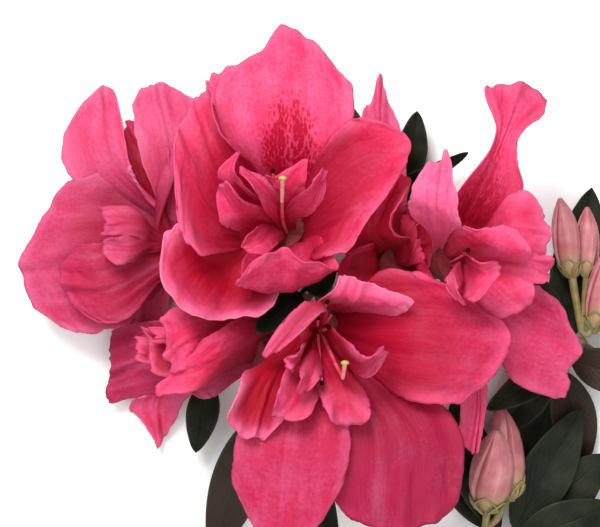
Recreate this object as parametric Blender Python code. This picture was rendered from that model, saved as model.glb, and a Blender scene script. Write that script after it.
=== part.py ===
"""A cut sprig of a double-flowered azalea, lying on its back with six open blooms facing upwards.

Every length below is in millimetres and every angle in degrees; MM turns a length into metres where
a mesh is made. X runs to the right of the sprig, Y towards the tip of its topmost petal, and Z up
from the table it lies on. A place is an (x, y, z) in that frame, before CENTRE moves the whole
sprig onto the middle of its own footprint.
"""

import math
from dataclasses import dataclass

import bmesh
import bpy
from mathutils import Matrix, Vector, noise

MM = 0.001

# The middle of the sprig's footprint, which becomes the origin.
CENTRE = Vector((10.4, -23.9, 0.0))

# Base colour, roughness and metallic value of each sort of tissue.
TISSUES = {
    "petal": ((0.80, 0.05, 0.15), 0.5, 0.0),
    "leaf": ((0.03, 0.06, 0.025), 0.45, 0.0),
    "bud": ((0.72, 0.28, 0.30), 0.5, 0.0),
    "bark": ((0.16, 0.10, 0.05), 0.75, 0.0),
}

# Where the flower stalks meet: the swollen tip of the main stem, under the blooms.
HUB = Vector((5.6, -6.0, 13.0))
HUB_RADIUS = 4.4
GAP = 0.35

# A bloom's green stalk and its tube, from the stalk's foot out to the throat.
STALK_RADIUS = 1.1
TUBE_RADII = (2.6, 3.2, 4.6)

# How fine a petal's grid is (cells across, cells along), and how thick its solid is.
LOBE_CELLS = (6, 6)
PETALOID_CELLS = (3, 4)
LEAF_CELLS = (2, 4)
PETAL_THICK = 0.9
LEAF_THICK = 0.7
SPINE_STEPS = 32
KEPT_FACES = 0.75
PLUG_RADIUS = 4.0
RIM_RADIUS = 7.0


@dataclass
class Petal:
    """One blade of a bloom, from the throat out to its tip.

    tip is where it ends, and mid a place that its midline passes on the way. left and right are
    where its margins stand widest, level with full of its length. rim is how far the blade runs in
    each of seven lanes, from its left side to its right. claw is how wide its foot is and swell how
    slowly it widens from there; waist is how much it draws in again before the tip, and taper how
    much narrower it ends. ruffle is how high its waves are, waves how many and phase where they
    lie.
    """

    tip: tuple
    mid: tuple
    left: tuple
    right: tuple
    rim: tuple = (0.66, 0.86, 0.96, 1.0, 0.96, 0.86, 0.66)
    full: float = 0.6
    taper: float = 0.08
    waist: float = 0.0
    swell: float = 1.5
    claw: float = 0.16
    ruffle: float = 1.1
    waves: float = 5.0
    phase: float = 0.0


@dataclass
class Petaloid(Petal):
    """A small petal inside a bloom: blunt, on a narrow foot, and hardly ruffled."""

    rim: tuple = (0.72, 0.9, 0.98, 1.0, 0.98, 0.9, 0.72)
    swell: float = 1.2
    ruffle: float = 0.3


@dataclass
class Bloom:
    """A double flower: its throat, the foot of its tube, where its stalk leaves the hub, and its
    petals.

    leaves_hub is the compass direction and the height, in degrees, at which the stalk sets out. The
    lobes are the big outer petals and the petaloids the small ones inside them.
    """

    throat: tuple
    base: tuple
    leaves_hub: tuple
    lobes: list
    petaloids: list
    stigma: tuple = ()


@dataclass
class Leaf:
    """A leaf blade from foot to tip: arch lifts its middle, fold raises its two halves, roll turns
    it over.
    """

    foot: tuple
    tip: tuple
    width: float
    arch: float = 2.0
    fold: float = 12.0
    roll: float = 0.0


@dataclass
class Bud:
    """A closed flower bud from foot to tip."""

    foot: tuple
    tip: tuple
    radius: float


def catmull(points, t):
    """The point at t, from 0 to 1, on a smooth curve through the points."""
    ends = [points[0] * 2 - points[1], *points, points[-1] * 2 - points[-2]]
    spans = len(points) - 1
    k = min(int(t * spans), spans - 1)
    f = t * spans - k
    a, b, c, d = ends[k : k + 4]
    bend = (c - a) * f + (a * 2 - b * 5 + c * 4 - d) * f**2 + (b * 3 - a - c * 3 + d) * f**3
    return b + bend / 2


def evenly(points, steps):
    """Points at even distances along the smooth curve through the given ones."""
    fine = [catmull(points, k / 200) for k in range(201)]
    run = [0.0]
    for a, b in zip(fine, fine[1:]):
        run.append(run[-1] + (b - a).length)
    found, k = [], 0
    for step in range(steps + 1):
        want = run[-1] * step / steps
        while k < 199 and run[k + 1] < want:
            k += 1
        found.append(fine[k].lerp(fine[k + 1], (want - run[k]) / (run[k + 1] - run[k])))
    return found


def span_share(s, petal):
    """The blade's width at s as a share of its widest: a narrow claw, then widest, then its waist
    and tip.
    """
    if s < petal.full:
        return petal.claw + (1 - petal.claw) * math.sin(math.pi / 2 * s / petal.full) ** petal.swell
    t = (s - petal.full) / (1 - petal.full)
    return 1 - petal.taper * t**2 - petal.waist * math.sin(math.pi * t) ** 2


def lane(rim, u):
    """How far the blade runs at u, from the seven lanes of its rim."""
    spot = (1 - u) * 3
    k = min(int(spot), 5)
    f = spot - k
    ends = (rim[0] * 2 - rim[1], *rim, rim[6] * 2 - rim[5])
    a, b, c, d = ends[k : k + 4]
    return b + ((c - a) * f + (a * 2 - b * 5 + c * 4 - d) * f**2 + (b * 3 - a - c * 3 + d) * f**3) / 2


class Blade:
    """The surface of one petal, as a function of u across it (1 on its left, -1 on its right) and v
    along it.
    """

    def __init__(self, bloom, petal):
        self.p = petal
        throat, base = Vector(bloom.throat), Vector(bloom.base)
        tip, mid = Vector(petal.tip), Vector(petal.mid)
        axis = (throat - base).normalized()
        out = mid.lerp(tip, 0.3) - throat
        out = (out - axis * out.dot(axis)).normalized()
        if petal in bloom.lobes:
            line = [throat - axis * 11 + out * 2, throat + out * RIM_RADIUS, mid, tip]
        else:
            line = [throat - axis * 8, throat + axis * 3 + out * 1.5, mid, tip]
        self.line = evenly(line, SPINE_STEPS)
        centre = self.place(petal.full)
        to_left, to_right = Vector(petal.left) - centre, Vector(petal.right) - centre
        self.across = (to_left - to_right) / 2
        self.bend = (to_left + to_right) / 2

    def place(self, s):
        k = min(int(s * SPINE_STEPS), SPINE_STEPS - 1)
        return self.line[k].lerp(self.line[k + 1], s * SPINE_STEPS - k)

    def flat(self, u, v):
        """The blade before its margin is ruffled."""
        p = self.p
        corner = u**6 * v**6
        u *= 1 - 0.06 * corner
        v *= 1 - 0.04 * corner
        s = min(max(v * (1 - (1 - lane(p.rim, u)) * v), 0.0), 1.0)
        share = span_share(s, p)
        share *= 1 + 0.03 * math.sin(p.waves * 2.1 * s + p.phase + 2 * u) * u * u * v
        return self.place(s) + (self.across * u + self.bend * u * u) * share

    def height(self, u, v):
        """How far the blade stands off its flat lie: the waves of its margin, and a little
        unevenness.
        """
        p = self.p
        turn = math.atan2(v - 0.35, u)
        wave = math.sin(p.waves * turn + p.phase)
        wave += 0.55 * math.sin(1.9 * p.waves * turn + 2.3 * p.phase)
        edge = min((abs(u) ** 5 + v**5) ** 0.2, 1.0)
        spread = self.across.length
        uneven = noise.noise(Vector((u * 1.3 + p.phase, v * 2.1, spread)))
        return p.ruffle * wave * edge**4 * min(1.0, v * 1.8) + 0.05 * spread * uneven * v

    def point(self, u, v):
        """The place in the ruffled blade at u and v."""
        reach = 0.04
        along = self.flat(u, min(v + reach, 1)) - self.flat(u, max(v - reach, 0))
        side = self.flat(min(u + reach, 1), v) - self.flat(max(u - reach, -1), v)
        return self.flat(u, v) + along.cross(side).normalized() * self.height(u, v)


BLOOMS = {
    "bloom_top": Bloom(
        throat=(-4.9, 10.2, 34),
        base=(0.5, 2, 19.5),
        leaves_hub=(123, 47),
        lobes=[
            Petal((-4.5, 66.4, 48), (-3.5, 40, 50), (-24.5, 51, 45), (15.8, 47, 50),
                  (0.8, 0.83, 0.9, 1, 0.96, 0.89, 0.79), full=0.75),
            Petal((30, 28, 54), (12, 20, 46), (16, 41, 54), (14, 2, 52),
                  (0.72, 0.9, 1, 1, 0.87, 0.72, 0.68), full=0.7),
            Petal((-4.5, 3.5, 58), (-4, -8, 45), (11, -1, 52), (-18.5, -6.5, 50),
                  (0.63, 0.8, 0.92, 1, 1, 0.9, 0.66), full=0.62),
            Petal((-29, -15, 50), (-20, -3, 38), (-7, -12, 44), (-38.5, 9, 49),
                  (0.88, 0.88, 0.92, 1, 1, 0.97, 0.8), full=0.8),
            Petal((-31, 45, 50), (-22, 24, 44), (-31, 6, 54), (-19.5, 36.5, 54),
                  (0.72, 0.95, 1, 1, 0.94, 0.9, 0.88)),
            Petal((-24.5, 54, 40), (-17, 38, 40), (-25.5, 45, 39), (-14, 53, 40), ruffle=0.5),
        ],
        petaloids=[
            Petaloid((-22, 21.8, 56), (-16, 13.5, 50), (-20, 10, 46), (-14.5, 17.3, 57)),
            Petaloid((-16.8, 30.5, 58), (-18, 22, 54), (-20.3, 21, 50), (-15, 21.5, 58)),
            Petaloid((-16.5, 26.3, 60), (-8.5, 19, 57), (-11, 17.5, 60), (-6.5, 19.5, 50)),
            Petaloid((0.8, 28.8, 57), (-3.5, 22, 52), (-9.5, 25, 54), (1.8, 21.5, 54),
                     (0.6, 0.7, 0.83, 1, 0.98, 0.85, 0.7)),
            Petaloid((7.2, 26, 58), (3, 17, 52), (1.5, 20.3, 58), (4, 15, 48)),
            Petaloid((-16, 4, 52), (-11, 6.5, 50), (-8, 3.5, 50), (-13, 9.5, 52)),
        ],
        stigma=(-4.7, 23, 65),
    ),
    "bloom_front": Bloom(
        throat=(5, -18.5, 38),
        base=(5, -13.5, 24),
        leaves_hub=(285, 55),
        lobes=[
            Petal((17.5, -4.3, 60), (15, -10, 58), (9, -7, 59), (32, -11, 61),
                  (1, 1, 1, 1, 0.97, 0.95, 0.86), full=0.84),
            Petal((58, -21, 49), (32, -18, 56), (33, -2.3, 45), (38, -39, 52),
                  (0.68, 0.84, 0.99, 1, 0.97, 0.88, 0.78), full=0.65),
            Petal((27, -75.5, 46), (26, -46, 52), (46, -58, 46), (9, -55, 48),
                  (0.92, 0.97, 0.99, 1, 1, 0.98, 0.95), full=0.78, taper=-0.03),
            Petal((-4, -79, 46), (-1, -48, 52), (14, -53, 54), (-20, -57, 48),
                  (0.81, 0.92, 0.97, 1, 1, 0.9, 0.74), full=0.7),
            Petal((-14, -48.5, 54), (-8, -32, 54), (-3, -40, 54), (-17.5, -35, 60),
                  (0.75, 0.9, 0.98, 1, 1, 0.93, 0.8), full=0.65, swell=0.8),
        ],
        petaloids=[
            Petaloid((-4.5, -26, 60), (0, -24.5, 58), (-1.5, -29, 58), (0, -24, 60)),
            Petaloid((-0.5, -35.5, 60), (3.5, -28, 60), (5.5, -30, 57), (0, -29.5, 62)),
            Petaloid((-6.5, -42.3, 57), (-1, -36, 57), (4.5, -38, 56), (-5.3, -32, 58)),
            Petaloid((24, -23.5, 60), (15, -28.5, 57), (14.5, -22.5, 66), (15.5, -29.5, 52)),
            Petaloid((12.5, -44.3, 57), (11, -34, 58), (18.7, -38, 57), (5.7, -37.5, 57)),
            Petaloid((-10, -26, 57), (4.5, -10.5, 60), (0.5, -19, 59), (-5.5, -16.5, 60),
                     full=0.75),
        ],
        stigma=(12, -26.5, 69),
    ),
    "bloom_right": Bloom(
        throat=(45, 1, 34),
        base=(37.5, -2.5, 20.5),
        leaves_hub=(-35, 0),
        lobes=[
            Petal((61.5, 50.3, 47), (54.5, 31, 53), (43.5, 21, 50), (62.3, 20, 44),
                  (1, 1, 1, 1, 0.98, 0.94, 0.86), full=0.5, taper=-0.55, waist=0.75),
            Petal((40.5, 31.2, 56), (38, 15, 58), (30.5, 18, 52), (43.3, 14, 60),
                  (0.7, 0.88, 0.93, 1, 0.88, 0.74, 0.6), swell=2.4),
            Petal((70, 9, 44), (59, 10, 46), (63, 21, 46), (67, 0, 44),
                  (0.78, 0.93, 0.99, 1, 0.97, 0.9, 0.75), full=0.75),
            Petal((80.5, -26, 30), (62, -18, 36), (73.5, -9.5, 32), (67, -36.7, 30),
                  (0.72, 0.85, 0.98, 1, 0.96, 0.97, 0.95), full=0.7),
            Petal((49, -54, 36), (50.5, -36, 38), (52, -47, 37), (44.8, -49, 37),
                  (0.97, 0.99, 1, 1, 0.98, 0.94, 0.88), full=0.85),
        ],
        petaloids=[
            Petaloid((56, 10.5, 58), (52, 5, 55), (45, 10.5, 55), (64.5, 1.5, 55),
                     (0.62, 0.8, 0.93, 1, 1, 0.88, 0.66)),
            Petaloid((69.8, -2.5, 46), (63, 0, 48), (66, 2.5, 48), (64.5, -6, 46)),
            Petaloid((55, -1, 58), (49, -3, 58), (46.5, 2, 58), (45.5, -10, 58)),
            Petaloid((61, -14, 43), (54, -8, 45), (64, -4, 46), (48, -13, 44)),
            Petaloid((44.5, -11.5, 60), (41.8, -3, 59), (43.3, -6.5, 60), (40, -5, 59)),
        ],
    ),
    "bloom_far_left": Bloom(
        throat=(-39.5, 6.9, 22),
        base=(-24, 3, 14),
        leaves_hub=(165, 0),
        lobes=[
            Petal((-56, 52.5, 22), (-53, 29, 28), (-70.5, 34, 20), (-49, 30, 28),
                  (0.77, 0.9, 0.98, 1, 0.9, 0.67, 0.5), full=0.7),
            Petal((-40, 52.3, 24), (-37, 34, 30), (-50, 47, 22), (-26, 44, 26),
                  (0.88, 0.98, 1, 1, 0.99, 0.97, 0.93), full=0.88, swell=2.5),
            Petal((-83, 2, 16), (-63, 4, 22), (-61, -20.5, 18), (-58, 27, 23),
                  (0.78, 0.93, 0.98, 1, 0.92, 0.87, 0.79)),
            Petal((-69.5, -5, 25), (-56, -6, 28), (-58, -18, 25), (-63, 6, 28),
                  (0.75, 0.95, 1, 1, 1, 0.92, 0.8), full=0.75),
            Petal((-50.5, 42, 18), (-43, 26, 22), (-52, 30, 17), (-38, 33, 22)),
            Petal((-50, -24, 1.2), (-47, -10, 10), (-40, -14, 6), (-58, -12, 4)),
        ],
        petaloids=[
            Petaloid((-56, 12, 34), (-46, 12, 32), (-52, 7.8, 32), (-53, 16.8, 34),
                     (1, 1, 1, 1, 1, 1, 1), full=0.8),
            Petaloid((-38, 33.5, 33), (-37, 24, 33), (-39, 28, 32), (-35.5, 28, 33)),
            Petaloid((-57, 5, 32), (-48, 4, 32), (-50, 0, 31), (-51, 8.5, 32)),
        ],
    ),
    "bloom_low_left": Bloom(
        throat=(-15, -25, 25),
        base=(-4.5, -21.5, 17),
        leaves_hub=(215, 10),
        lobes=[
            Petal((-42.7, -56.6, 3), (-41.5, -38, 10), (-33.8, -40, 8), (-50.3, -41, 8),
                  (0.82, 0.88, 0.95, 1, 0.93, 0.82, 0.74), full=0.66, taper=0.6, swell=0.8),
            Petal((-59, -31.5, 8), (-44, -27, 14), (-54.5, -42.5, 7), (-55.5, -19.5, 9),
                  (1, 1, 0.98, 0.95, 0.96, 0.97, 0.96), full=0.9, swell=0.9, ruffle=1.2),
            Petal((-38.8, -26.5, 35), (-31, -20.5, 39), (-29, -29.5, 35), (-34, -13, 33),
                  (0.8, 0.92, 0.98, 1, 0.95, 0.9, 0.8), claw=0.8),
            Petal((-38.3, -30, 37), (-24, -26.5, 40), (-25, -33, 34), (-21, -17.5, 38),
                  (0.93, 0.99, 0.97, 0.92, 0.84, 0.75, 0.64), full=0.45, claw=0.85, ruffle=0.4),
            Petal((-34, -35, 28), (-24, -33.5, 27), (-24, -37.8, 25), (-25, -29, 27), full=0.5,
                  claw=0.7, ruffle=0.3),
        ],
        petaloids=[
            Petaloid((-43.5, -23, 32), (-37, -25, 30), (-39.5, -33, 31), (-42, -19, 33),
                     (1, 1, 1, 1, 1, 1, 1), full=0.85),
            Petaloid((-47.5, -25, 29), (-41, -26, 28), (-44, -29, 28), (-45, -21, 29),
                     (1, 1, 1, 1, 1, 1, 1), full=0.9),
            Petaloid((-41.5, -21, 35), (-35, -21, 34), (-39, -23, 34), (-38.5, -18.3, 35),
                     (1, 1, 1, 1, 1, 1, 1), full=0.8),
        ],
    ),
    "bloom_behind": Bloom(
        throat=(29, -1, 27),
        base=(22, 0, 13),
        leaves_hub=(45, -10),
        lobes=[
            Petal((26, 24.5, 42), (21, 10, 40), (12, 4, 36), (29.5, 8, 42),
                  (0.7, 0.8, 0.9, 0.97, 1, 0.96, 0.8), full=0.45, claw=0.8),
            Petal((36.6, 8.8, 28.5), (33, 4.5, 31), (30.5, 16.5, 32), (34.4, -3.5, 29),
                  ruffle=0.4),
            Petal((23.2, 54.8, 25), (23, 38, 28), (18, 42, 25), (28.3, 41, 25),
                  (0.74, 0.82, 0.9, 1, 0.93, 0.86, 0.76), full=0.7, swell=1),
            Petal((10.5, -3, 36), (20, -2, 35), (20, -9.5, 34), (19, 6, 37), ruffle=0.5),
            Petal((38.5, -5.5, 32), (34, -3, 32), (35, 1, 32), (33.5, -9, 32), ruffle=0.4),
        ],
        petaloids=[
            Petaloid((33, 12, 34), (31, 8, 34), (29, 12, 35), (33.5, 8, 33)),
            Petaloid((35, 4, 32), (33.5, 3, 32), (33.5, 7, 33), (35, 1, 32)),
        ],
    ),
}


class LeafBlade:
    """The surface of a leaf: a short stalk, then an oval blade folded up a little along its midrib."""

    def __init__(self, leaf):
        self.leaf = leaf
        self.foot, self.end = Vector(leaf.foot), Vector(leaf.tip)
        self.along = (self.end - self.foot).normalized()
        side = Vector((0, 0, 1)).cross(self.along).normalized()
        self.side = Matrix.Rotation(math.radians(leaf.roll), 3, self.along) @ side
        self.up = self.along.cross(self.side)

    def point(self, u, v):
        leaf = self.leaf
        blade = max(v - 0.1, 0.0) / 0.9
        half = 0.5 + (0.5 * leaf.width - 0.5) * math.sin(math.pi * blade**0.85) ** 0.8
        half *= 1 - 0.75 * max(v - 0.96, 0) / 0.04
        rise = math.sin(math.pi * v) * leaf.arch + half * abs(u) * math.sin(math.radians(leaf.fold))
        middle = self.foot.lerp(self.end, v)
        return middle + self.side * half * u * math.cos(math.radians(leaf.fold)) + self.up * rise


SHOOT_TIPS = {"near_shoot": Vector((54, -82, 10)), "far_shoot": Vector((84, -24, 9))}

MAIN_STEM = ([(39.2, -113.5, 3), (31, -90, 4.5), (16, -45, 7), HUB], (3.0, 2.7, 2.3, 2.2))
SHOOTS = {
    "near_shoot": ([(36, -93, 6), (45, -87, 9), (54, -82, 10)], (1.5, 1.4, 1.3)),
    "far_shoot": ([(42, -104, 4), (80, -97, 3), (100, -62, 4), (96, -34, 7), (84, -24, 9)],
                  (1.8, 1.6, 1.4, 1.3)),
}

LEAF_MASSES = {
    "upper_leaves": (
        [[(6.3, -1.8, 11), (10, 6, 6), (20, 16, 5), (31, 22, 5)]],
        [
            Leaf((32, 22, 5), (35, 45.5, 10), 9.5, arch=1),
            Leaf((20, 20, 5), (50, 33, 13), 6, roll=30),
            Leaf((18, 18, 5), (42, 22, 5), 10),
            Leaf((18, 18, 5), (-6, 32, 2), 12),
            Leaf((22, 18, 5), (12, 51, 1.2), 11),
        ],
    ),
    "centre_leaves": (
        [[(2.3, -6.6, 16.4), (1, -8, 20)]],
        [
            Leaf((1, -8, 20), (-12.5, -19.5, 37), 11),
            Leaf((1, -8, 20), (10.5, -0.5, 26), 10),
        ],
    ),
    "lower_leaves": (
        [
            [(3.1, -9.5, 11), (-4, -22, 7), (-10, -40, 5)],
            [(-1, -17, 8.5), (-14, -26, 6), (-26, -33, 6)],
        ],
        [
            Leaf((-27, -33, 6), (-31.2, -56.5, 10), 10),
            Leaf((-10, -40, 5), (-27, -89, 2), 16),
            Leaf((-10, -40, 5), (11, -84, 14), 14),
            Leaf((-20, -30, 6), (-36, -10, 2), 11),
            Leaf((-5, -25, 6), (4, -60, 2), 12),
        ],
    ),
    "near_leaves": (
        [[(56.5, -82.9, 9.4), (63, -84, 8)]],
        [
            Leaf((60, -83.5, 8.7), (46, -40, 6), 15),
            Leaf((62, -84, 8), (84, -43, 10.5), 16, arch=1),
            Leaf((62, -84, 8), (94, -72, 10), 15, arch=3),
            Leaf((62, -84, 8), (76, -112, 7), 13),
            Leaf((62, -82.9, 7.9), (40, -55, 4), 13, arch=-1),
            Leaf((63, -84, 7.5), (92, -57, 10), 17, arch=0, fold=5),
        ],
    ),
    "far_leaves": (
        [[(81.8, -25.2, 9), (78, -29, 7)]],
        [
            Leaf((78, -29, 7), (86, -62, 2), 14),
            Leaf((78, -29, 7), (54, -42.5, 26), 10, arch=3),
            Leaf((78, -29, 7), (58, -52, 2), 13),
            Leaf((79, -28, 8), (104, -36, 16), 13),
            Leaf((78, -29, 7), (70, -2, 2), 12),
            Leaf((78, -29, 7), (52, -16, 2), 12),
            Leaf((78, -29.5, 6), (70, -62, 2), 14, arch=0, fold=5),
            Leaf((79.5, -27.5, 6), (88.5, 23, 1.5), 17, arch=0, fold=6),
        ],
    ),
}

# How thick a bud is on its way from foot to tip, as shares of its radius.
BUD_SHAPE = (0.42, 0.78, 0.96, 1.0, 0.97, 0.84, 0.56, 0.14)

BUD_CLUSTERS = {
    "near_buds": (
        (55, -79, 11.5),
        [Bud((55.4, -72, 17), (57, -48.3, 26), 6.5), Bud((62, -68, 18.5), (58.8, -41.5, 21), 5.2)],
    ),
    "far_buds": (
        (84, -20.2, 10),
        [
            Bud((81, -3, 11), (77.1, 19.4, 14), 4.2),
            Bud((86, -3, 10), (85.5, 16.8, 12), 3.8),
            Bud((88, -19, 11), (91, 4, 14), 4.2),
        ],
    ),
}


def away(az, el):
    """The unit vector at that compass direction and height above the table."""
    a, e = math.radians(az), math.radians(el)
    return Vector((math.cos(a) * math.cos(e), math.sin(a) * math.cos(e), math.sin(e)))


def blade_mesh(surface, cells):
    """A petal or a leaf as an open sheet in a bmesh."""
    bm = bmesh.new()
    bmesh.ops.create_grid(bm, x_segments=cells[0], y_segments=cells[1], size=1)
    for v in bm.verts:
        v.co = surface.point(v.co.x, (v.co.y + 1) / 2) * MM
    return bm


def thicken(bm, thick):
    """Turn an open sheet into a closed solid with that sheet in its middle."""
    bmesh.ops.recalc_face_normals(bm, faces=bm.faces)
    bm.normal_update()
    offset = {v: v.normal * thick * MM / 2 for v in bm.verts}
    rim = [e for e in bm.edges if e.is_boundary]
    sheet = bm.verts[:] + bm.edges[:] + bm.faces[:]
    under = bmesh.ops.duplicate(bm, geom=sheet)["vert_map"]
    for edge in rim:
        a, b = edge.verts
        bm.faces.new((a, b, under[b], under[a]))
    for v, step in offset.items():
        under[v].co -= step
        v.co += step
    bmesh.ops.recalc_face_normals(bm, faces=bm.faces)


def limb(places, radii, sides=10, rings=12):
    """A closed tapering round limb along a smooth curve, as a bmesh."""
    line = evenly([Vector(p) for p in places], rings)
    bm = bmesh.new()
    along = (line[1] - line[0]).normalized()
    side = along.orthogonal().normalized()
    loops = []
    for k, centre in enumerate(line):
        ahead = (line[min(k + 1, rings)] - line[max(k - 1, 0)]).normalized()
        side = (side - ahead * side.dot(ahead)).normalized()
        over = ahead.cross(side)
        spot = k / rings * (len(radii) - 1)
        low = min(int(spot), len(radii) - 2)
        radius = radii[low] + (radii[low + 1] - radii[low]) * (spot - low)
        loops.append([])
        for n in range(sides):
            turn = 2 * math.pi * n / sides
            spoke = side * math.cos(turn) + over * math.sin(turn)
            loops[-1].append(bm.verts.new((centre + spoke * radius) * MM))
    for lower, upper in zip(loops, loops[1:]):
        for n in range(sides):
            m = (n + 1) % sides
            bm.faces.new((lower[n], lower[m], upper[m], upper[n]))
    bm.faces.new(loops[0][::-1])
    bm.faces.new(loops[-1])
    return bm


def ball(centre, radius):
    """A round knob, as a bmesh."""
    bm = bmesh.new()
    place = Matrix.Translation(centre * MM)
    bmesh.ops.create_icosphere(bm, subdivisions=2, radius=radius * MM, matrix=place)
    return bm


def make_object(name, bm):
    """Put a bmesh, cut into triangles, into the scene as a named object."""
    bmesh.ops.triangulate(bm, faces=bm.faces)
    mesh = bpy.data.meshes.new(name)
    bm.to_mesh(mesh)
    bm.free()
    made = bpy.data.objects.new(name, mesh)
    bpy.context.scene.collection.objects.link(made)
    return made


def largest_shell(bm):
    """Drop every shell but the biggest, so that no scrap or sealed hollow is left."""
    bm.verts.ensure_lookup_table()
    shells, seen = [], set()
    for start in bm.verts:
        if start in seen:
            continue
        shell, stack = [], [start]
        seen.add(start)
        while stack:
            here = stack.pop()
            shell.append(here)
            for edge in here.link_edges:
                there = edge.other_vert(here)
                if there not in seen:
                    seen.add(there)
                    stack.append(there)
        shells.append(shell)
    sizes = []
    for shell in shells:
        low = Vector([min(v.co[a] for v in shell) for a in range(3)])
        high = Vector([max(v.co[a] for v in shell) for a in range(3)])
        sizes.append((high - low).length)
    keep = shells[sizes.index(max(sizes))]
    loose = set(bm.verts) - set(keep)
    bmesh.ops.delete(bm, geom=list(loose), context="VERTS")


def mend(bm):
    """Cut out each spot where two sheets share an edge, and close the small holes that are left."""
    for _ in range(6):
        shared = {v for e in bm.edges if not e.is_manifold for v in e.verts}
        if not shared:
            return
        bmesh.ops.delete(bm, geom=list(shared), context="VERTS")
        bmesh.ops.holes_fill(bm, edges=[e for e in bm.edges if e.is_boundary], sides=0)
        bmesh.ops.triangulate(bm, faces=bm.faces)
    bmesh.ops.recalc_face_normals(bm, faces=bm.faces)


def tissue(name):
    """The material of one sort of tissue, made once."""
    found = bpy.data.materials.get(name)
    if found is None:
        colour, roughness, metallic = TISSUES[name]
        found = bpy.data.materials.new(name)
        found.use_nodes = True
        shader = found.node_tree.nodes["Principled BSDF"]
        shader.inputs["Base Color"].default_value = (*colour, 1)
        shader.inputs["Roughness"].default_value = roughness
        shader.inputs["Metallic"].default_value = metallic
    return found


def joined(name, kind, pieces, solver="EXACT"):
    """Join closed pieces, given as bmeshes, into one named solid."""
    cutter_box = bpy.data.collections.new(name + "_pieces")
    bpy.context.scene.collection.children.link(cutter_box)
    body = make_object(name, pieces[0])
    others = []
    for k, bm in enumerate(pieces[1:]):
        other = make_object(f"{name}_piece_{k}", bm)
        bpy.context.scene.collection.objects.unlink(other)
        cutter_box.objects.link(other)
        others.append(other)
    if others:
        union = body.modifiers.new("union", "BOOLEAN")
        union.operation = "UNION"
        union.operand_type = "COLLECTION"
        union.collection = cutter_box
        union.solver = solver
        shape = body.evaluated_get(bpy.context.evaluated_depsgraph_get())
        bm = bmesh.new()
        bm.from_mesh(shape.to_mesh())
        shape.to_mesh_clear()
        body.modifiers.clear()
        bmesh.ops.triangulate(bm, faces=bm.faces)
        mend(bm)
        largest_shell(bm)
        bm.to_mesh(body.data)
        bm.free()
        if solver == "MANIFOLD":
            thin = body.modifiers.new("drop_slivers", "DECIMATE")
            thin.ratio = KEPT_FACES
    for other in others:
        bpy.data.objects.remove(other)
    bpy.data.collections.remove(cutter_box)
    body.data.materials.append(tissue(kind))
    body.location = -CENTRE * MM
    return body


def bloom_pieces(bloom):
    """The stalk with its tube, then every petal, as closed pieces that run into one another at the
    throat.
    """
    throat, base = Vector(bloom.throat), Vector(bloom.base)
    foot = HUB + away(*bloom.leaves_hub) * (HUB_RADIUS + GAP)
    start = HUB + away(*bloom.leaves_hub) * (HUB_RADIUS + GAP + 1.5)
    bend = base + (base - throat) * 0.15
    stalk = limb([foot, start, bend, base + (throat - base) * 0.1], (STALK_RADIUS,) * 2, 6, 5)
    tube = limb([base, base.lerp(throat, 0.3), base.lerp(throat, 0.6)], TUBE_RADII, 8, 2)
    pieces = [tube, stalk, ball(throat + (base - throat).normalized() * 8, PLUG_RADIUS)]
    for petals, cells in ((bloom.lobes, LOBE_CELLS), (bloom.petaloids, PETALOID_CELLS)):
        for petal in petals:
            bm = blade_mesh(Blade(bloom, petal), cells)
            thicken(bm, PETAL_THICK)
            pieces.append(bm)
    if bloom.stigma:
        inside = throat + (base - throat).normalized() * 9
        top = Vector(bloom.stigma)
        pieces.append(limb([inside, inside.lerp(top, 0.5), top], (0.6, 0.5, 0.7), 6, 2))
    return pieces


def leafy_pieces(twigs, leaves):
    """Twigs and their leaves."""
    pieces = [limb(twig, (1.0, 0.9), 8, 6) for twig in twigs]
    for leaf in leaves:
        bm = blade_mesh(LeafBlade(leaf), LEAF_CELLS)
        thicken(bm, LEAF_THICK)
        pieces.append(bm)
    return pieces


def bud_pieces(root, buds):
    """The closed buds of a cluster and the short stalks that carry them."""
    pieces = []
    for bud in buds:
        foot, tip = Vector(bud.foot), Vector(bud.tip)
        bend = Vector(root).lerp(foot, 0.5) - (tip - foot).normalized() * 1.5
        pieces.append(limb([root, bend, foot + (tip - foot) * 0.1], (1.0, 1.3), 8, 4))
        pieces.append(limb([foot, foot.lerp(tip, 0.5), tip], [bud.radius * s for s in BUD_SHAPE], 8, 7))
    return pieces


def build():
    """Build every solid of the sprig."""
    for old in list(bpy.data.objects):
        bpy.data.objects.remove(old)
    made = {}
    made["main_stem"] = joined("main_stem", "bark", [limb(*MAIN_STEM, 10, 14), ball(HUB, HUB_RADIUS)])
    for name, (places, radii) in SHOOTS.items():
        made[name] = joined(name, "bark", [limb(places, radii, 8, 8), ball(SHOOT_TIPS[name], 2.2)])
    for name, bloom in BLOOMS.items():
        made[name] = joined(name, "petal", bloom_pieces(bloom), "MANIFOLD")
    for name, (twigs, leaves) in LEAF_MASSES.items():
        made[name] = joined(name, "leaf", leafy_pieces(twigs, leaves))
    for name, (root, buds) in BUD_CLUSTERS.items():
        made[name] = joined(name, "bud", bud_pieces(root, buds))
    return made


if __name__ == "__main__":
    build()
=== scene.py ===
# %% [markdown]
# # A cut azalea sprig in flower
#
# The object is a cut sprig of a double azalea. It lies on its back on a pale table: six ruffled pink blooms
# face up, with closed buds and dark oval leaves round them, on woody shoots. This file is a lesson in
# dressing the plain solids of such a sprig as living tissue. It loads the solids as a fixed frame and makes
# each soft piece in the space that its solid holds.

import math
from dataclasses import dataclass

import bmesh
import bpy
from mathutils import Matrix, Vector, noise


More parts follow.
